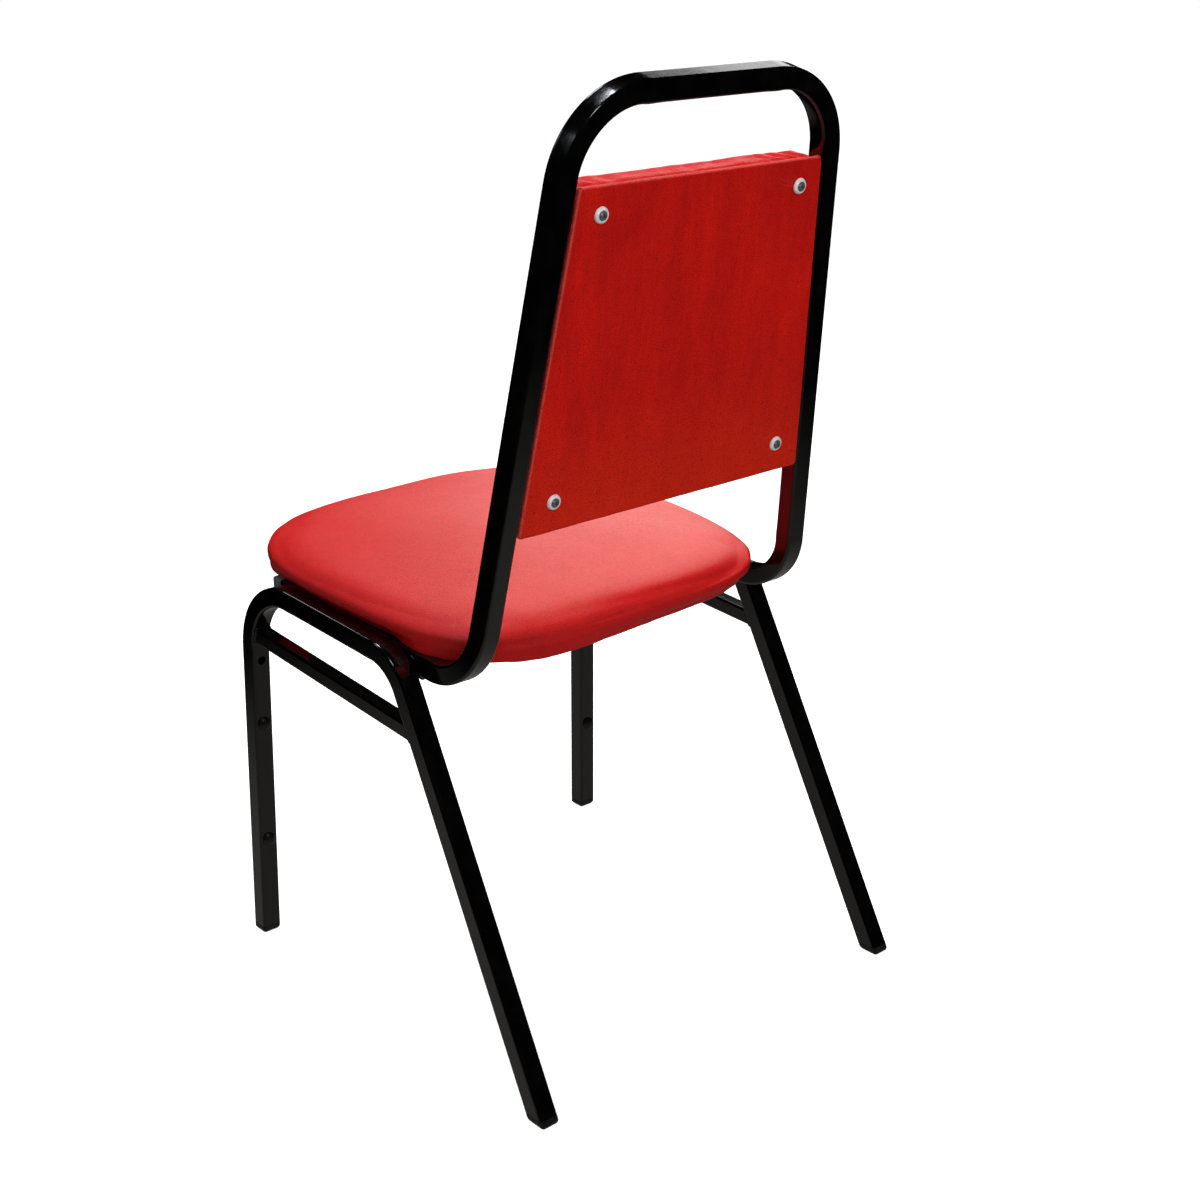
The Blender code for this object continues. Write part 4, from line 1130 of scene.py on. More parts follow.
def puff(mesh, held, pressure, cap, frames=20, stiff=18.0, smoothing=40):
    """Blows the cover up like cloth over soft foam. held gives each vertex's
    hold, 1 where it is stapled to its board. The result is capped and kept."""
    obj = bpy.data.objects.new("puff", mesh)
    scene.collection.objects.link(obj)
    group = obj.vertex_groups.new(name="held")
    for index, weight in enumerate(held):
        if weight > 0:
            group.add([index], float(weight), "REPLACE")
    before = read(mesh)
    mod = obj.modifiers.new("Cloth", "CLOTH")
    cloth = mod.settings
    cloth.quality = 6
    cloth.mass = 0.35
    cloth.tension_stiffness = stiff
    cloth.compression_stiffness = stiff * 0.5
    cloth.shear_stiffness = stiff * 0.4
    cloth.bending_stiffness = 0.6
    cloth.tension_damping = cloth.compression_damping = 12.0
    cloth.shear_damping = 8.0
    cloth.air_damping = 3.0
    cloth.use_pressure = True
    cloth.uniform_pressure_force = pressure
    cloth.vertex_group_mass = "held"
    cloth.pin_stiffness = 1.0
    cloth.effector_weights.gravity = 0.0
    mod.collision_settings.use_collision = False
    mod.point_cache.frame_start = 1
    mod.point_cache.frame_end = frames
    for number in range(1, frames + 1):
        scene.frame_set(number)
    graph = bpy.context.evaluated_depsgraph_get()
    after_mesh = obj.evaluated_get(graph).to_mesh()
    after = read(after_mesh)
    obj.evaluated_get(graph).to_mesh_clear()
    obj.modifiers.remove(mod)
    bpy.data.objects.remove(obj)
    scene.frame_set(1)
    move = after - before
    # the foam evens the blow-up out; only the held edge keeps its small folds
    pairs = np.empty(len(mesh.edges) * 2, np.int32)
    mesh.edges.foreach_get("vertices", pairs)
    pairs = pairs.reshape(-1, 2)
    count = np.zeros(len(before))
    np.add.at(count, pairs[:, 0], 1)
    np.add.at(count, pairs[:, 1], 1)
    free = np.where(np.asarray(held) > 0, 0.15, 0.85)[:, None]
    for _ in range(smoothing):
        mean = np.zeros_like(move)
        np.add.at(mean, pairs[:, 0], move[pairs[:, 1]])
        np.add.at(mean, pairs[:, 1], move[pairs[:, 0]])
        move = move * (1 - free) + mean / np.maximum(count, 1)[:, None] * free
    size = np.linalg.norm(move, axis=1)
    # a real cover is cut to its foam, so its sides are not drawn in as it rises
    out = np.sum(move * normals(mesh), axis=1)
    out = cap * np.tanh(np.maximum(out, -0.15 * cap) / (2.5 * cap))
    write(mesh, before + normals(mesh) * out[:, None])
    print("puff moved", round(float(size.max()) * 1000, 1), "mm, mean", round(float(size.mean()) * 1000, 2))


def skin(mesh, thickness):
    """Gives an open cover its thickness on the inside."""
    obj = bpy.data.objects.new("skin", mesh)
    scene.collection.objects.link(obj)
    mod = obj.modifiers.new("Solidify", "SOLIDIFY")
    mod.thickness = thickness
    mod.offset = -1.0
    mod.use_even_offset = False
    mod.use_rim = True
    graph = bpy.context.evaluated_depsgraph_get()
    out = bpy.data.meshes.new_from_object(obj.evaluated_get(graph), depsgraph=graph)
    bpy.data.objects.remove(obj)
    return out


def foam_from(mesh, levels, last_row, depth, drop=0.0):
    """The pad under a cover: its grid and its rows down to last_row, moved in
    by depth and closed underneath."""
    bm = bmesh.new()
    bm.from_mesh(mesh)
    bm.verts.ensure_lookup_table()
    gone = [v for v in bm.verts if levels[v.index] > last_row]
    shift = {v: v.normal.copy() for v in bm.verts}
    for v in bm.verts:
        v.co -= shift[v] * depth
    bmesh.ops.delete(bm, geom=gone, context="VERTS")
    rim = [e for e in bm.edges if e.is_boundary]
    bmesh.ops.holes_fill(bm, edges=rim, sides=0)
    bmesh.ops.recalc_face_normals(bm, faces=list(bm.faces))
    out = bpy.data.meshes.new("foam")
    bm.to_mesh(out)
    bm.free()
    return out


# ------------------------------------------------------------------------ seat
def signed_power(value, power):
    return math.copysign(abs(value) ** power, value)


def seat_plan(inset, theta):
    c, s = math.cos(theta), math.sin(theta)
    n = SEAT_N_REAR if s > 0 else SEAT_N_FRONT
    u = signed_power(c, 2 / n)
    v = signed_power(s, 2 / n)
    middle = (SEAT_Y_FRONT + SEAT_Y_REAR) / 2
    half = (SEAT_Y_REAR - SEAT_Y_FRONT) / 2
    width = (SEAT_W_FRONT + SEAT_W_REAR) / 2 + (SEAT_W_REAR - SEAT_W_FRONT) / 2 * v
    width -= 1.9 * MM * (1 - v * v)
    return u * (width - inset), middle + v * (half - inset)


SEAT_DENSE = 1440
seat_cache = {}


def seat_curve(inset):
    key = round(inset, 6)
    if key not in seat_cache:
        thetas = [2 * math.pi * (i + 0.5) / SEAT_DENSE for i in range(SEAT_DENSE)]
        marks = [round(SEAT_DENSE * (q / 8)) for q in (7, 1, 3, 5)]
        seat_cache[key] = Outline([seat_plan(inset, t) for t in thetas], marks)
    return seat_cache[key]


seat_normal = Vector((0, -SEAT_SLOPE, 1)).normalized()


def seat_place(plan, height):
    x, y = plan
    return V(x, y, SEAT_BASE_Z + SEAT_SLOPE * (y - 100 * MM) + height)


class Hung:
    """A wall row that tucks in beside the leg rails and hangs freely behind
    and in front of them."""

    def __init__(self, tucked, loose):
        self.tucked, self.loose = tucked, loose

    @staticmethod
    def share(x, y):
        def step(a, b, v):
            t = max(0.0, min(1.0, (v - a) / (b - a)))
            return t * t * (3 - 2 * t)

        behind = step(42 * MM, 84 * MM, y) * (0.30 + 0.70 * step(-75 * MM, 95 * MM, x))
        ahead = 0.92 * step(-112 * MM, -160 * MM, y)
        return max(behind, ahead)

    def at(self, side, t, crowd):
        p = self.tucked.at(side, t, crowd)
        return p.lerp(self.loose.at(side, t, crowd), self.share(p.x, p.y))


def hung_row(inset):
    loose = 0.12 * inset if inset <= 12.2 else 1.5 + (inset - 12.2) * 1.06
    return Hung(seat_curve(inset * MM), seat_curve(min(loose, inset) * MM))


SEAT_GRID = 34
SEAT_HALF = 205.0 * MM
SEAT_BULGE = 17.0 * MM
RIM_ANGLE = math.radians(46)
SHRINK = 1.4 * MM  # the form starts this much lower, and the air fills it out
seat_middle = Vector((0, (SEAT_Y_FRONT + SEAT_Y_REAR) / 2))


def eased(profile, inset, half, blend):
    """The profile's height, with the join of roll and crown blended over."""
    spread = min(blend, 0.42 * inset)
    total = weight = 0.0
    for k in range(-8, 9):
        g = math.exp(-0.5 * (k / 3.6) ** 2)
        at = inset + spread * k / 3.6
        at = half - abs(half - at) if at > half else max(at, 0.0)
        total += g * profile(at)
        weight += g
    return total / weight


def seat_profile(inset):
    top = SEAT_THICK - SHRINK
    if inset < SEAT_ROLL:
        return SEAT_BULGE + (top - SEAT_BULGE) * math.sin(math.acos(1 - inset / SEAT_ROLL))
    scale = (SEAT_HALF - inset) / (SEAT_HALF - SEAT_ROLL)
    return top + SEAT_CROWN * (1 - scale * scale)


def seat_top_ring(share):
    rim_inset = SEAT_ROLL * (1 - math.cos(RIM_ANGLE))
    radius = (SEAT_HALF - rim_inset) * share
    inset = SEAT_HALF - radius
    height = eased(seat_profile, inset, SEAT_HALF, 17 * MM)
    if inset < SEAT_ROLL:
        return seat_curve(inset), height, 1.0, seat_middle
    return seat_curve(SEAT_ROLL), height, radius / (SEAT_HALF - SEAT_ROLL), seat_middle


seat_rows = []
for k in range(10, -1, -1):
    a = RIM_ANGLE * k / 11
    seat_rows.append(
        (
            seat_curve(SEAT_ROLL * (1 - math.cos(a))),
            eased(seat_profile, SEAT_ROLL * (1 - math.cos(a)), SEAT_HALF, 17 * MM),
        )
    )
for inset, height in (
    (0.2, 14.8), (0.9, 12.8), (2.1, 11.2), (3.8, 9.8), (6.0, 8.6), (8.0, 7.4), (9.3, 6.0),
    (10.0, 4.4), (10.5, 2.9), (11.1, 1.5), (12.2, 0.5), (13.8, 0.1), (17.0, 0.0), (22.0, 0.0),
    (29.0, 0.0), (36.0, 0.0), (46.5, 0.0),
):
    seat_rows.append((hung_row(inset), height * MM))

seat_mesh, seat_levels = covered_form(SEAT_GRID, 0.30, seat_top_ring, seat_rows, seat_place)
seat_held = []
for number in seat_levels:
    # rows 1 to 11 are the roll, 12 to 17 the tuck, 18 on are on the board
    seat_held.append(1.0 if number >= 18 else 0.65 if number == 17 else 0.3 if number == 16 else 0.0)
puff(seat_mesh, seat_held, 4.0, 2.6 * MM)


def seat_height(co):
    return co[:, 2] - (SEAT_BASE_Z + SEAT_SLOPE * (co[:, 1] - Y_SHIFT - 100 * MM))


def seat_details(mesh):
    """Pulls, gathers and puckers that the staples leave in the vinyl."""
    co = read(mesh)
    nor = normals(mesh)
    height = seat_height(co)
    middle_y = seat_middle.y + Y_SHIFT
    move = np.zeros(len(co))
    sag = np.zeros(len(co))
    for i, (p, h) in enumerate(zip(co, height)):
        x, y = p[0], p[1] - middle_y
        theta = math.atan2(y / 0.205, x / 0.205)
        # how near a corner of the plan this is
        corner = max(0.0, math.sin(2 * theta) ** 2 - 0.55) / 0.45
        run = theta * 0.205
        low = math.exp(-((max(h, 0.0) - 6 * MM) / (9 * MM)) ** 2)
        # staple puckers round the lower edge
        pucker = noise.noise(Vector((run / (19 * MM), 3.0, h / (60 * MM))))
        fine = noise.noise(Vector((run / (7.5 * MM), 8.0, h / (40 * MM))))
        move[i] += low * (0.55 * MM * pucker + 0.16 * MM * fine * (0.4 + corner))
        # gathers at the corners, running up the wall and fading on the roll
        fade = math.exp(-((max(h, 0.0) - 9 * MM) / (14 * MM)) ** 2)
        folds = math.sin(run / (5.6 * MM) + 2.0 * noise.noise(Vector((run / 0.03, h / 0.02, 1.0))))
        move[i] += corner * fade * 0.55 * MM * folds
        # slow unevenness of the pad
        move[i] += 0.7 * MM * noise.noise(Vector((x, y, h)) / 0.11)
        move[i] += 0.28 * MM * noise.noise(Vector((x, y, h)) / 0.038)
        # the pull line along the rear wall, from corner to corner
        if y > 0:
            edge = min(1.0, max(0.0, (y - 0.13) / 0.05))
            edge *= min(1.0, max(0.0, (0.183 - abs(x)) / 0.05))
            line = 20.0 * MM - 26.0 * MM * x + 1.5 * MM * math.sin(x / 0.05)
            depth = (1.0 + 0.5 * noise.noise(Vector((x / 0.07, 5.0, 0.0)))) * MM * 3.0
            move[i] -= edge * depth * math.exp(-(((h - line) / (7.0 * MM)) ** 2))
            move[i] += edge * 1.5 * MM * math.exp(-(((h - 9 * MM) / (5.5 * MM)) ** 2))
            # behind the left leg the lower edge sags below the board
            low_row = {16: 0.3, 17: 0.5, 18: 0.7, 19: 0.9, 24: 0.6, 25: 0.25}
            row = seat_levels[i]
            share = 1.0 if 20 <= row <= 23 else low_row.get(row, 0.0)
            inside = max(0.0, min(1.0, (0.174 - abs(x)) / 0.014))
            hang = math.exp(-(((x - 0.118) / 0.055) ** 2)) * 2.0 + 0.7
            wave = 0.7 * noise.noise(Vector((x / 0.013, 4.0, 2.0)))
            sag[i] = edge * share * inside * (hang + wave) * MM
            # the full corner rests on the hoop's rail
            rest = math.exp(-(((abs(x) - 0.184) / 0.014) ** 2)) if y > 0.09 else 0.0
            sag[i] = max(sag[i], share * rest * 1.9 * MM)
            move[i] += 1.6 * MM * rest * math.exp(-(((h - 5 * MM) / (8 * MM)) ** 2))
        if y < 0:
            # in front of the rails' ends the corner's rim hangs free and full
            low_row = {16: 0.3, 17: 0.5, 18: 0.7, 19: 0.9, 24: 0.6, 25: 0.25}
            row = seat_levels[i]
            share = 1.0 if 20 <= row <= 23 else low_row.get(row, 0.0)
            ahead = max(0.0, min(1.0, (-y - 0.128) / 0.035))
            aside = max(0.0, min(1.0, (abs(x) - 0.120) / 0.060))
            ahead, aside = ahead * ahead * (3 - 2 * ahead), aside * aside * (3 - 2 * aside)
            sag[i] = share * ahead * (0.35 + 0.65 * aside) * 5.0 * MM
            move[i] += share * ahead * aside * 0.8 * MM
        if h < 1.2 * MM:
            # pleats of the turned-under margin
            move[i] *= 0.25
            move[i] += 0.25 * MM * max(0.0, math.sin(run / (6.5 * MM)) * (0.5 + corner))
    co += nor * move[:, None]
    co[:, 2] -= sag
    write(mesh, co)


seat_details(seat_mesh)
seat_foam_mesh = foam_from(seat_mesh, seat_levels, 16, 2.2 * MM)
add_piece("seat_pad_foam", shaded(seat_foam_mesh, 60), FOAM, ["seat_foam"])
seat_cushion = add_piece(
    "seat_cushion", shaded(skin(seat_mesh, 1.0 * MM), 80), SEAT_VINYL, ["seat_cover"], 1
)


def dust_cloth():
    """Cloth under the seat, hemmed and stapled, sagging between the staples."""
    size = 24

    def top_ring(share):
        return seat_curve(33.5 * MM), 0.0, share, seat_middle

    def place(plan, height):
        x, y = plan
        edge = max(abs(x) / 0.175, abs(y - seat_middle.y) / 0.172)
        sag = 1.6 * MM * max(0.0, 1 - edge ** 3)
        sag += 0.35 * MM * noise.noise(Vector((x, y, 0)) / 0.03)
        return seat_place(plan, -0.15 * MM - sag - height)

    mesh, levels = covered_form(size, 0.3, top_ring, [], place)
    return mesh


dust_mesh = skin(dust_cloth(), 0.35 * MM)
add_piece("seat_dust_cloth", shaded(dust_mesh, 60), CAMBRIC, ["seat_dust_cover"], 1)


def staple(matrix):
    """A driven staple: flat crown with its shoulders going in."""
    wide, thick, deep = 10.0 * MM, 1.2 * MM, 0.55 * MM
    rings = []
    for k in range(11):
        t = k / 10
        x = (t - 0.5) * wide
        drop = 0.9 * MM * max(0.0, (abs(t - 0.5) * 2 - 0.86) / 0.14) ** 2
        ring = []
        for a in range(8):
            angle = 2 * math.pi * a / 8
            ring.append(
                matrix @ Vector((x, math.cos(angle) * thick / 2, math.sin(angle) * deep / 2 - drop))
            )
        rings.append(ring)
    middle = lambda ring: sum(ring, Vector()) / len(ring)
    return loft(rings, middle(rings[0]), middle(rings[-1]))


staples = []
edge_curve = seat_curve(31.0 * MM)
for side_number in range(4):
    for t in np.linspace(-0.86, 0.86, 8):
        a = edge_curve.at(side_number, float(t), 0.1)
        b = edge_curve.at(side_number, float(t) + 0.01, 0.1)
        where = seat_place(a, -0.55 * MM)
        if abs(where.x) > 172 * MM and abs(where.x) < 203 * MM and where.y < 0.14:
            where = seat_place(Vector((math.copysign(174.5 * MM, a.x), a.y)), -0.55 * MM)
        way = Vector((b.x - a.x, b.y - a.y, 0)).normalized()
        turn = 0.12 * noise.noise(Vector((t * 9, side_number, 2.0)))
        way = Matrix.Rotation(turn, 3, "Z") @ way
        staples.append(staple(frame_matrix(where, -seat_normal, way)))
add_piece("seat_staples", shaded(joined(staples), 50), ZINC)


# ------------------------------------------------------------------------ back
def back_plan(inset, radius, dense=36):
    """Points of the back's outline, a trapezium with round corners, with the
    numbers of the four corner middles."""
    low, top = BACK_S_LOW + inset, BACK_S_TOP - inset
    slope = (BACK_W_TOP - BACK_W_LOW) / (BACK_S_TOP - BACK_S_LOW)
    wide_low = BACK_W_LOW + slope * inset - inset
    wide_top = BACK_W_TOP - slope * inset - inset
    corners = [(wide_low, low), (wide_top, top), (-wide_top, top), (-wide_low, low)]
    points, marks = [], []
    for i, (x, s) in enumerate(corners):
        here = Vector((x, s))
        u = (Vector(corners[i - 1]) - here).normalized()
        v = (Vector(corners[(i + 1) % 4]) - here).normalized()
        between = u.angle(v)
        reach = radius / math.tan(between / 2)
        centre = here + (u + v).normalized() * (radius / math.sin(between / 2))
        first = (here + u * reach - centre) / radius
        last = (here + v * reach - centre) / radius
        turn = first.angle(last)
        for j in range(dense + 1):
            share = j / dense
            mixed = first * (math.sin((1 - share) * turn) / math.sin(turn)) + last * (
                math.sin(share * turn) / math.sin(turn)
            )
            if j == dense // 2:
                marks.append(len(points))
            points.append(tuple(centre + mixed * radius))
    return points, marks


back_cache = {}


def back_curve(inset, radius):
    key = (round(inset, 6), round(radius, 6))
    if key not in back_cache:
        back_cache[key] = Outline(*back_plan(inset, radius))
    return back_cache[key]


back_middle = Vector((0, (BACK_S_LOW + BACK_S_TOP) / 2))


def back_place(plan, d):
    return B(plan[0], plan[1], d)


SCREWS = [(side * x, s) for x, s in (SCREW_TOP, SCREW_LOW) for word, side in SIDES]


def panel_mesh():
    """Rear panel: thin board wrapped in vinyl, rolled edge, pulled at screws."""
    face = REAR_PANEL_D
    low = REAR_PANEL_D - REAR_PANEL_THICK
    roll = 2.3 * MM
    half_low = 150 * MM

    def top_ring(share):
        inset = roll * 1.0
        if share > 0.985:
            return back_curve(roll, 3 * MM), face, 1.0, back_middle
        return back_curve(roll, 3 * MM), face, share, back_middle

    rows = []
    for k in range(1, 9):
        a = math.pi / 2 * k / 8
        rows.append(
            (back_curve(roll * (1 - math.sin(a)), 3 * MM), face - roll * (1 - math.cos(a)))
        )
    for inset, d in ((0.0, face - 3.2 * MM), (0.15, low + 1.4 * MM), (0.7, low + 0.5 * MM),
                     (1.6, low + 0.08 * MM), (4.0, low), (9.0, low), (16.0, low), (24.0, low)):
        rows.append((back_curve(inset * MM, 3 * MM), d))
    mesh, levels = covered_form(40, 0.62, top_ring, rows, back_place)
    co = read(mesh)
    nor = normals(mesh)
    out = np.array(back_out)
    origin = np.array(back_zero)
    up = np.array(back_up)
    move = np.zeros(len(co))
    for i, p in enumerate(co):
        x = p[0]
        s = float((p - origin) @ up)
        d = float((p - origin) @ out)
        if levels[i] > 12:
            continue
        # the vinyl sinks under each cup washer and strains towards it
        for sx, ss in SCREWS:
            r = math.hypot(x - sx, s - ss)
            a = math.atan2(s - ss, x - sx)
            if d > face - 1.5 * MM:
                move[i] -= 0.75 * MM * math.exp(-((r / (11 * MM)) ** 2))
                move[i] += (
                    0.10 * MM * math.sin(7 * a + 1.3 * ss * 40)
                    * math.exp(-(((r - 14 * MM) / (8 * MM)) ** 2))
                )
        flat = 1.0 if levels[i] <= 0 else 0.6
        # faint vertical drag lines and a slack surface
        move[i] += flat * 0.16 * MM * noise.noise(Vector((x / 0.011, s / 0.16, 2.0)))
        move[i] += flat * 0.22 * MM * noise.noise(Vector((x / 0.045, s / 0.09, 7.0)))
        # the wrapped edge is never quite straight
        if levels[i] > -2:
            run = math.atan2(s - back_middle.y, x) * 0.16
            move[i] += 0.22 * MM * noise.noise(Vector((run / 0.017, 1.0, 3.0)))
            corner = math.exp(-(((abs(x) - BACK_W_TOP) / (9 * MM)) ** 2)) * math.exp(
                -(((s - BACK_S_TOP) / (10 * MM)) ** 2)
            )
            move[i] += corner * 0.45 * MM * math.sin(run / (1.1 * MM))
    co += nor * move[:, None]
    write(mesh, co)
    return mesh


back_panel = add_piece(
    "back_panel_cover", shaded(skin(panel_mesh(), 0.9 * MM), 80), BACK_VINYL,
    ["back_rear_cover"], 1,
)

BACK_GRID = 32
FACE_RIM = math.radians(48)
BACK_SHRINK = 1.2 * MM


BACK_HALF = 148.0 * MM


def cushion_profile(inset):
    face = CUSHION_FACE_D + BACK_SHRINK
    if inset < CUSHION_ROLL:
        return CUSHION_WALL_D + (face - CUSHION_WALL_D) * math.sin(math.acos(1 - inset / CUSHION_ROLL))
    scale = (BACK_HALF - inset) / (BACK_HALF - CUSHION_ROLL)
    return face - CUSHION_CROWN * (1 - scale * scale)


def cushion_top_ring(share):
    rim_inset = CUSHION_ROLL * (1 - math.cos(FACE_RIM))
    radius = (BACK_HALF - rim_inset) * share
    inset = BACK_HALF - radius
    d = eased(cushion_profile, inset, BACK_HALF, 10 * MM)
    if inset < CUSHION_ROLL:
        return back_curve(inset, 14 * MM), d, 1.0, back_middle
    return back_curve(CUSHION_ROLL, 14 * MM), d, radius / (BACK_HALF - CUSHION_ROLL), back_middle


cushion_rows = []
for k in range(8, -1, -1):
    a = FACE_RIM * k / 9
    cushion_rows.append(
        (
            back_curve(0.2 * MM + CUSHION_ROLL * (1 - math.cos(a)), 13.5 * MM),
            eased(cushion_profile, CUSHION_ROLL * (1 - math.cos(a)), BACK_HALF, 10 * MM),
        )
    )
for inset, d in (
    (0.6, -12.0), (0.9, -9.0), (0.9, -6.0), (0.7, -3.0), (0.45, -0.5), (0.5, 1.2), (0.9, 2.6),
    (1.8, 3.7), (3.2, 4.25), (6.0, 4.4), (11.0, 4.4), (17.0, 4.4), (24.0, 4.4),
):
    cushion_rows.append((back_curve(inset * MM, 12 * MM), d * MM))
cushion_mesh, cushion_levels = covered_form(
    BACK_GRID, 0.45, cushion_top_ring, cushion_rows, lambda plan, d: back_place(plan, d)
)
# the form's outside looks forwards, against the back's outward axis
bm = bmesh.new()
bm.from_mesh(cushion_mesh)
bm.normal_update()
front = sum((f.normal.dot(-back_out) * f.calc_area() for f in bm.faces if f.calc_center_median().y < 0.19), 0.0)
bm.faces.ensure_lookup_table()
if front < 0:
    bmesh.ops.reverse_faces(bm, faces=list(bm.faces))
bm.to_mesh(cushion_mesh)
bm.free()
cushion_held = [1.0 if n >= 15 else 0.6 if n == 14 else 0.25 if n == 13 else 0.0 for n in cushion_levels]
puff(cushion_mesh, cushion_held, 4.0, 2.2 * MM)


def cushion_details(mesh):
    co = read(mesh)
    nor = normals(mesh)
    origin, up, out = np.array(back_zero), np.array(back_up), np.array(back_out)
    move = np.zeros(len(co))
    for i, p in enumerate(co):
        x = p[0]
        s = float((p - origin) @ up)
        d = float((p - origin) @ out)
        side_share = math.exp(-(((d + 6 * MM) / (12 * MM)) ** 2))
        top = max(0.0, min(1.0, (s - (BACK_S_TOP - 0.02)) / 0.015))
        run = math.atan2(s - back_middle.y, x) * 0.16
        # gathers on the edge band, close together near the corners
        corner = math.exp(-(((abs(x) - (BACK_W_TOP + (BACK_S_TOP - s) * 0.1)) / (26 * MM)) ** 2))
        wave = noise.noise(Vector((run / 0.012, 2.0, d / 0.05)))
        move[i] += side_share * (0.6 + 0.5 * top) * MM * wave
        move[i] += side_share * top * corner * 1.25 * MM * math.sin(x / (3.0 * MM) + d / (6 * MM))
        move[i] += side_share * top * 1.1 * MM * noise.noise(Vector((x / 0.03, 6.0, d / 0.03)))
        # the full wall rolls over a hollow where it meets the rear panel
        hollow = math.exp(-(((d - 2.5 * MM) / (3.2 * MM)) ** 2))
        move[i] -= top * hollow * (1.0 + 0.7 * noise.noise(Vector((x / 0.022, 9.0, 0.0)))) * MM
        # slanting pleats gathered into the right end of the upper wall
        pleat = math.exp(-(((x + 0.100) / 0.022) ** 2)) + 0.6 * math.exp(-(((x - 0.122) / 0.012) ** 2))
        lines = math.sin((x + 0.9 * d) / (2.6 * MM))
        move[i] += side_share * top * pleat * 0.9 * MM * (lines - 0.3)
        move[i] += 0.75 * MM * noise.noise(Vector((x / 0.09, s / 0.09, 1.0)))
        move[i] += 0.25 * MM * noise.noise(Vector((x / 0.033, s / 0.033, d / 0.03)))
        if cushion_levels[i] >= 19:
            move[i] *= 0.1
    co += nor * move[:, None]
    # nothing of it may reach into the rear panel
    depth = (co - origin) @ out
    over = np.maximum(depth - (CUSHION_D + 0.15 * MM), 0.0)
    co -= over[:, None] * out
    write(mesh, co)


cushion_details(cushion_mesh)
cushion_foam = foam_from(cushion_mesh, cushion_levels, 12, 2.0 * MM)
add_piece("back_pad_foam", shaded(cushion_foam, 60), FOAM, ["back_front_foam"])
back_cushion = add_piece(
    "back_cushion", shaded(skin(cushion_mesh, 0.9 * MM), 80), SEAT_VINYL,
    ["back_front_cover"], 1,
)


# ---------------------------------------------------------- screws and washers
def cross_cutter(matrix, reach, width, low, high, top_reach):
    """Tapered cross recess with a pointed bottom."""
    rings = []
    for z, r, w in ((low, reach * 0.28, width * 0.55), ((low + high) / 2, reach * 0.7, width * 0.8),
                    (high, top_reach, width)):
        ring = []
        for k in range(4):
            c, s = math.cos(math.pi / 2 * k), math.sin(math.pi / 2 * k)
            for x, y in ((w / 2, -w / 2), (max(r, w / 2 * 1.05), -w / 2), (max(r, w / 2 * 1.05), w / 2)):
                ring.append(matrix @ Vector((x * c - y * s, x * s + y * c, z)))
        rings.append(ring)
    return loft(rings, "flat", "flat")


def screw_mesh(matrix, head, shank, length, recess, turn, crown):
    profile = head + [(shank, -2.9 * MM)]
    pitch = 1.6 * MM
    z = -3.4 * MM
    while z > -length * 0.86:
        profile += [(shank * 0.80, z), (shank * 1.05, z - pitch * 0.5)]
        z -= pitch
    profile += [(shank * 0.45, -length * 0.93), (0, -length)]
    mesh = turned(profile, matrix, 48)
    tool = cross_cutter(
        matrix @ Matrix.Rotation(turn, 4, "Z"), recess[0], recess[1], recess[2], recess[3], recess[4]
    )
    cut_mesh = shaded(with_cut(mesh, [tool]), 32)
    # the recess faces are marked for a dark material: painted shade in the recess, together with the dirt it keeps and
    # its dull plating
    back = matrix.inverted()
    for face in cut_mesh.polygons:
        local = back @ face.center
        away = math.hypot(local.x, local.y)
        if away < recess[4] and recess[2] - 0.1 * MM < local.z < crown(away) - 0.12 * MM:
            face.material_index = 1
    return cut_mesh


def oval_crown(away):
    return (1.8 - 1.7 * min(1.0, away / (3.9 * MM)) ** 2.2) * MM


def pan_crown(away):
    return 0.7 * MM + 2.2 * MM * math.sqrt(max(0.0, 1 - (away / (4.2 * MM)) ** 2))


OVAL = [(0, 1.8 * MM)]
for k in range(1, 9):
    a = k / 8
    OVAL.append((3.9 * MM * a, (1.8 - 1.7 * a ** 2.2) * MM))
OVAL += [(4.0 * MM, -0.12 * MM), (3.9 * MM, -0.4 * MM), (2.1 * MM, -2.3 * MM)]
PAN = [(0, 2.9 * MM)]
for k in range(1, 10):
    a = math.pi / 2 * k / 9
    PAN.append((4.2 * MM * math.sin(a), 0.7 * MM + 2.2 * MM * math.cos(a)))
PAN += [(4.2 * MM, 0.1 * MM), (4.1 * MM, 0.0), (2.2 * MM, 0.0), (2.1 * MM, -0.4 * MM)]
CUP = rounded(
    [
        (2.5 * MM, -2.05 * MM), (4.4 * MM, -0.05 * MM), (5.05 * MM, 0.15 * MM), (6.1 * MM, -0.45 * MM),
        (6.85 * MM, -1.7 * MM), (7.0 * MM, -2.65 * MM), (6.5 * MM, -2.65 * MM), (6.0 * MM, -1.75 * MM),
        (5.05 * MM, -0.8 * MM), (4.45 * MM, -0.88 * MM), (3.0 * MM, -2.4 * MM), (2.5 * MM, -2.06 * MM),
    ],
    {1: (0.4 * MM, 3), 2: (0.7 * MM, 5), 3: (0.7 * MM, 5), 4: (0.5 * MM, 4)},
)[:-1]
cup_top = REAR_PANEL_D + 0.3 * MM + 2.65 * MM
turns = {"upper_left": 0.35, "upper_right": 1.05, "lower_left": 0.78, "lower_right": 0.12}
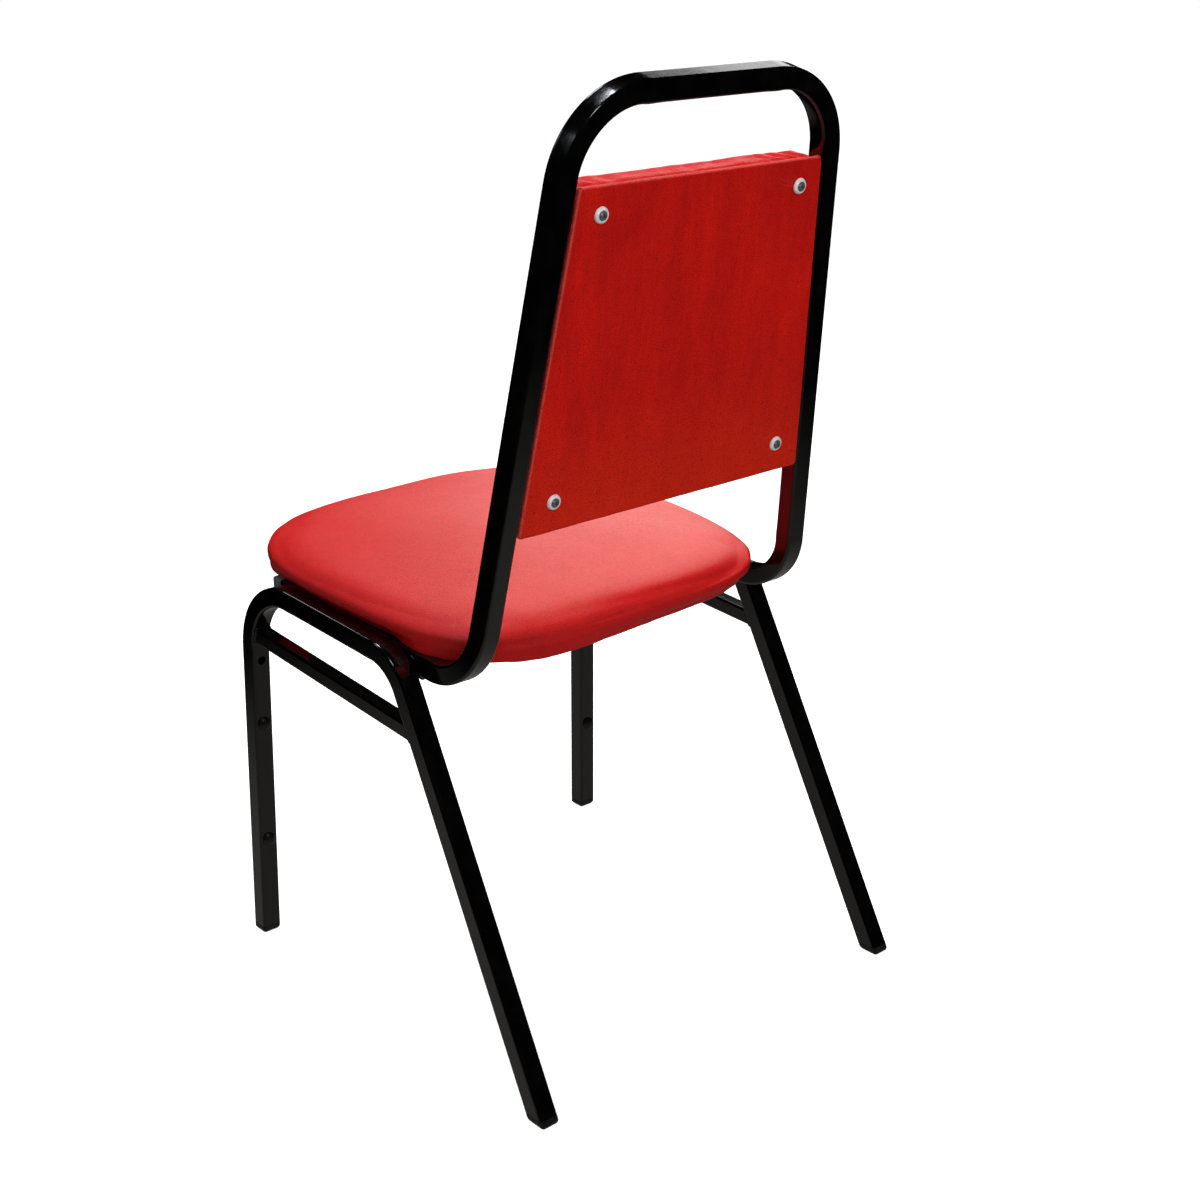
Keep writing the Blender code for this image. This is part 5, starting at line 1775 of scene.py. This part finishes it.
for level, (x, s) in (("upper", SCREW_TOP), ("lower", SCREW_LOW)):
    for word, side in SIDES:
        name = f"{level}_{word}"
        add_piece(
            "washer_" + name, shaded(turned(CUP, back_matrix(side * x, s, cup_top - 0.35 * MM), 56), 38),
            ZINC, ["cup_washer_" + name],
        )
        add_piece(
            "screw_back_" + name,
            screw_mesh(
                back_matrix(side * x, s, cup_top), OVAL, 2.1 * MM, 17.35 * MM,
                (2.2 * MM, 1.25 * MM, -1.3 * MM, 3.0 * MM, 2.9 * MM), turns[name], oval_crown,
            ),
            SCREW_METAL, ["back_screw_" + name],
        ).data.materials.append(RECESS_DIRT_AND_SHADE)
for number, (name, matrix) in enumerate(seat_screw_frames):
    under = matrix @ Matrix.Translation((0, 0, -TUBE / 2 - 0.1 * MM)) @ Matrix.Rotation(math.pi, 4, "X")
    add_piece(
        name.replace("seat_screw", "screw_seat"),
        screw_mesh(
            under, PAN, 2.1 * MM, 31 * MM, (2.3 * MM, 1.0 * MM, 0.4 * MM, 4.0 * MM, 2.9 * MM), 0.4 * number,
            pan_crown,
        ),
        SCREW_METAL, [name],
    ).data.materials.append(RECESS_DIRT_AND_SHADE)

# --------------------------------------------------------------------- camera
YAW, PITCH, ROLL = 4.0055, 0.3495, -0.0181
camera_data = bpy.data.cameras.new("camera")
camera = bpy.data.objects.new("camera", camera_data)
scene.collection.objects.link(camera)
forward = Vector(
    (math.cos(YAW) * math.cos(PITCH), math.sin(YAW) * math.cos(PITCH), -math.sin(PITCH))
)
right = Vector((math.sin(YAW), -math.cos(YAW), 0))
above = right.cross(forward)
right_rolled = right * math.cos(ROLL) + above * math.sin(ROLL)
up_rolled = above * math.cos(ROLL) - right * math.sin(ROLL)
pose = Matrix((right_rolled, up_rolled, -forward)).transposed().to_4x4()
pose.translation = Vector((1.0758, 1.3654 + Y_SHIFT, 0.9922))
camera.matrix_world = pose
camera_data.sensor_width = 36.0
camera_data.lens = 56.44
camera_data.clip_start = 0.05
camera_data.dof.use_dof = False
scene.camera = camera

# ---------------------------------------------------------------------- stage
scene.view_settings.view_transform = "Standard"
scene.view_settings.look = "None"


def flat_material(name, colour, rough):
    n = Nodes(name, colour, rough)
    drift = n.noise(1.3, 2.0, 0.5)
    n.out("Base Color", n.mix(drift, rgb(*colour), rgb(*(c * 0.985 for c in colour))))
    return n.mat


floor_mesh = bpy.data.meshes.new("floor")
floor_mesh.from_pydata(
    [(-14, -14, -0.0004), (14, -14, -0.0004), (14, 14, -0.0004), (-14, 14, -0.0004)], [], [(0, 1, 2, 3)]
)
floor = bpy.data.objects.new("floor", floor_mesh)
floor_mesh.materials.append(flat_material("floor_pale", (0.93, 0.93, 0.93), 0.9))
scene.collection.objects.link(floor)
floor.visible_glossy = False
floor.visible_diffuse = False

# what the gloss paint mirrors: the lit floor near the chair, and no more
glow = bpy.data.materials.new("lit_floor_patch")
glow.use_nodes = True
tree = glow.node_tree
tree.nodes.clear()
patch_out = tree.nodes.new("ShaderNodeOutputMaterial")
emit = tree.nodes.new("ShaderNodeEmission")
fade = tree.nodes.new("ShaderNodeMapRange")
length = tree.nodes.new("ShaderNodeVectorMath")
length.operation = "LENGTH"
where = tree.nodes.new("ShaderNodeTexCoord")
tree.links.new(where.outputs["Object"], length.inputs[0])
tree.links.new(length.outputs["Value"], fade.inputs["Value"])
fade.interpolation_type = "SMOOTHSTEP"
for key, number in (("From Min", 0.55), ("From Max", 1.35), ("To Min", 0.21), ("To Max", 0.0)):
    fade.inputs[key].default_value = number
tree.links.new(fade.outputs["Result"], emit.inputs["Strength"])
emit.inputs["Color"].default_value = (1.0, 0.97, 0.88, 1.0)
tree.links.new(emit.outputs["Emission"], patch_out.inputs["Surface"])
patch_mesh = bpy.data.meshes.new("floor_patch")
patch_mesh.from_pydata([(-2, -2, 0), (2, -2, 0), (2, 2, 0), (-2, 2, 0)], [], [(0, 1, 2, 3)])
patch = bpy.data.objects.new("floor_patch", patch_mesh)
patch.location = (0.0, 0.1, -0.003)
patch_mesh.materials.append(glow)
scene.collection.objects.link(patch)
patch.visible_camera = patch.visible_diffuse = patch.visible_shadow = False


def soft_box(name, at, to, size, power, colour=(1, 1, 1), spread=180):
    data = bpy.data.lights.new(name, "AREA")
    data.shape = "RECTANGLE"
    data.size, data.size_y = size
    data.energy = power
    data.color = colour
    data.spread = math.radians(spread)
    lamp = bpy.data.objects.new(name, data)
    scene.collection.objects.link(lamp)
    way = (Vector(to) - Vector(at)).normalized()
    lamp.rotation_euler = way.to_track_quat("-Z", "Y").to_euler()
    lamp.location = at
    return lamp


def only_on(lamp, *kinds):
    """The lamp lights these pieces alone."""
    group = bpy.data.collections.new(lamp.name + "_on")
    for obj in scene.objects:
        if obj.type == "MESH" and obj.name.startswith(kinds):
            group.objects.link(obj)
    lamp.light_linking.receiver_collection = group


VINYL_PIECES = ("seat_cushion", "back_cushion", "back_panel_cover")
key = soft_box("key", (-1.05, -1.15, 2.75), (0, 0, 0.45), (1.3, 1.2), 73)
key.visible_glossy = False
rear_fill = soft_box("rear_fill", (0.5, 2.4, 1.9), (0, 0, 0.45), (1.6, 1.2), 29)
rear_fill.visible_glossy = False
only_on(
    rear_fill, "back_", "screw_", "washer_", "leg_", "hoop_", "brace_", "rail_", "weld_", "glide_",
    "foot_", "bumper_", "stack_",
)
seat_fill = soft_box("seat_fill", (0.5, 2.4, 1.7), (0, 0, 0.45), (1.6, 1.2), 16, (1.0, 0.93, 0.80))
seat_fill.visible_glossy = False
only_on(seat_fill, "seat_")
# what the paint mirrors: a pale wall low behind, a small lamp over the arch
wall = soft_box("pale_wall", (-1.56, -1.12, 1.58), (0, 0.23, 0.87), (0.52, 0.5), 1.5)
wall.visible_diffuse = False
streak = soft_box("arch_lamp", (-0.14, -1.02, 2.54), (0, 0.23, 0.87), (0.52, 0.26), 11.0, (0.88, 0.93, 1.0))
streak.visible_diffuse = False
side_lamp = soft_box("side_lamp", (1.30, -1.14, 1.95), (0, 0.23, 0.8), (0.20, 0.5), 2.2, (0.86, 0.92, 1.0))
side_lamp.visible_diffuse = False
leg_lamp = soft_box("leg_lamp", (0.72, 0.42, 2.45), (0.2, 0, 0.38), (0.34, 0.34), 7.0, (0.92, 0.95, 1.0))
leg_lamp.visible_diffuse = False
rail_lamp = soft_box("rail_lamp", (0.55, -1.60, 1.65), (0.2, 0, 0.38), (0.30, 0.30), 1.6, (0.96, 0.94, 0.92))
rail_lamp.visible_diffuse = False
only_on(rail_lamp, "leg_tube_")
# the sheen on the vinyl, and the glints on the screws
haze = soft_box("vinyl_haze", (-1.62, -1.34, 1.30), (0, 0.05, 0.43), (1.3, 0.6), 20, (1.0, 0.93, 0.86))
haze.visible_diffuse = False
only_on(haze, "seat_cushion")
glint = soft_box("vinyl_edge", (0.0, 0.9, 2.5), (0, 0.2, 0.8), (0.7, 0.4), 9)
glint.visible_diffuse = False
only_on(glint, "seat_cushion")
top_haze = soft_box("top_haze", (-1.30, -1.10, 1.10), (0, 0.25, 0.8), (0.8, 0.4), 4, (1.0, 0.92, 0.84))
top_haze.visible_diffuse = False
only_on(top_haze, "back_cushion")
# the rolled edges of the rear panel, above and at the side
edge_lamp = soft_box("panel_edge", (-1.28, 0.38, 2.15), (0, 0.27, 0.85), (0.5, 0.4), 60, (1.0, 0.90, 0.86))
edge_lamp.visible_diffuse = False
only_on(edge_lamp, "back_panel_cover")
side_edge = soft_box("panel_side", (1.9, 1.75, 1.6), (0.15, 0.27, 0.7), (0.4, 0.5), 34, (1.0, 0.90, 0.86))
side_edge.visible_diffuse = False
only_on(side_edge, "back_panel_cover")
screw_glint = soft_box("screw_glint", (1.0, 2.0, 1.5), (0, 0.2, 0.6), (0.9, 0.7), 9)
only_on(screw_glint, "washer_", "screw_back_")

wash_data = bpy.data.lights.new("floor_wash", "SUN")
wash_data.energy = 3.4
wash_data.use_shadow = False
wash = bpy.data.objects.new("floor_wash", wash_data)
scene.collection.objects.link(wash)
floor_only = bpy.data.collections.new("floor_only")
floor_only.objects.link(floor)
wash.light_linking.receiver_collection = floor_only

world = bpy.data.worlds.new("studio")
scene.world = world
world.use_nodes = True
tree = world.node_tree
background = tree.nodes["Background"]
background.inputs["Color"].default_value = (1.0, 1.0, 1.0, 1.0)
background.inputs["Strength"].default_value = 0.22
white = tree.nodes.new("ShaderNodeBackground")
white.inputs["Color"].default_value = (1.0, 1.0, 1.0, 1.0)
white.inputs["Strength"].default_value = 1.0
paths = tree.nodes.new("ShaderNodeLightPath")
either = tree.nodes.new("ShaderNodeMixShader")
tree.links.new(paths.outputs["Is Camera Ray"], either.inputs[0])
tree.links.new(background.outputs[0], either.inputs[1])
tree.links.new(white.outputs[0], either.inputs[2])
tree.links.new(either.outputs[0], tree.nodes["World Output"].inputs["Surface"])
world.cycles_visibility.glossy = False
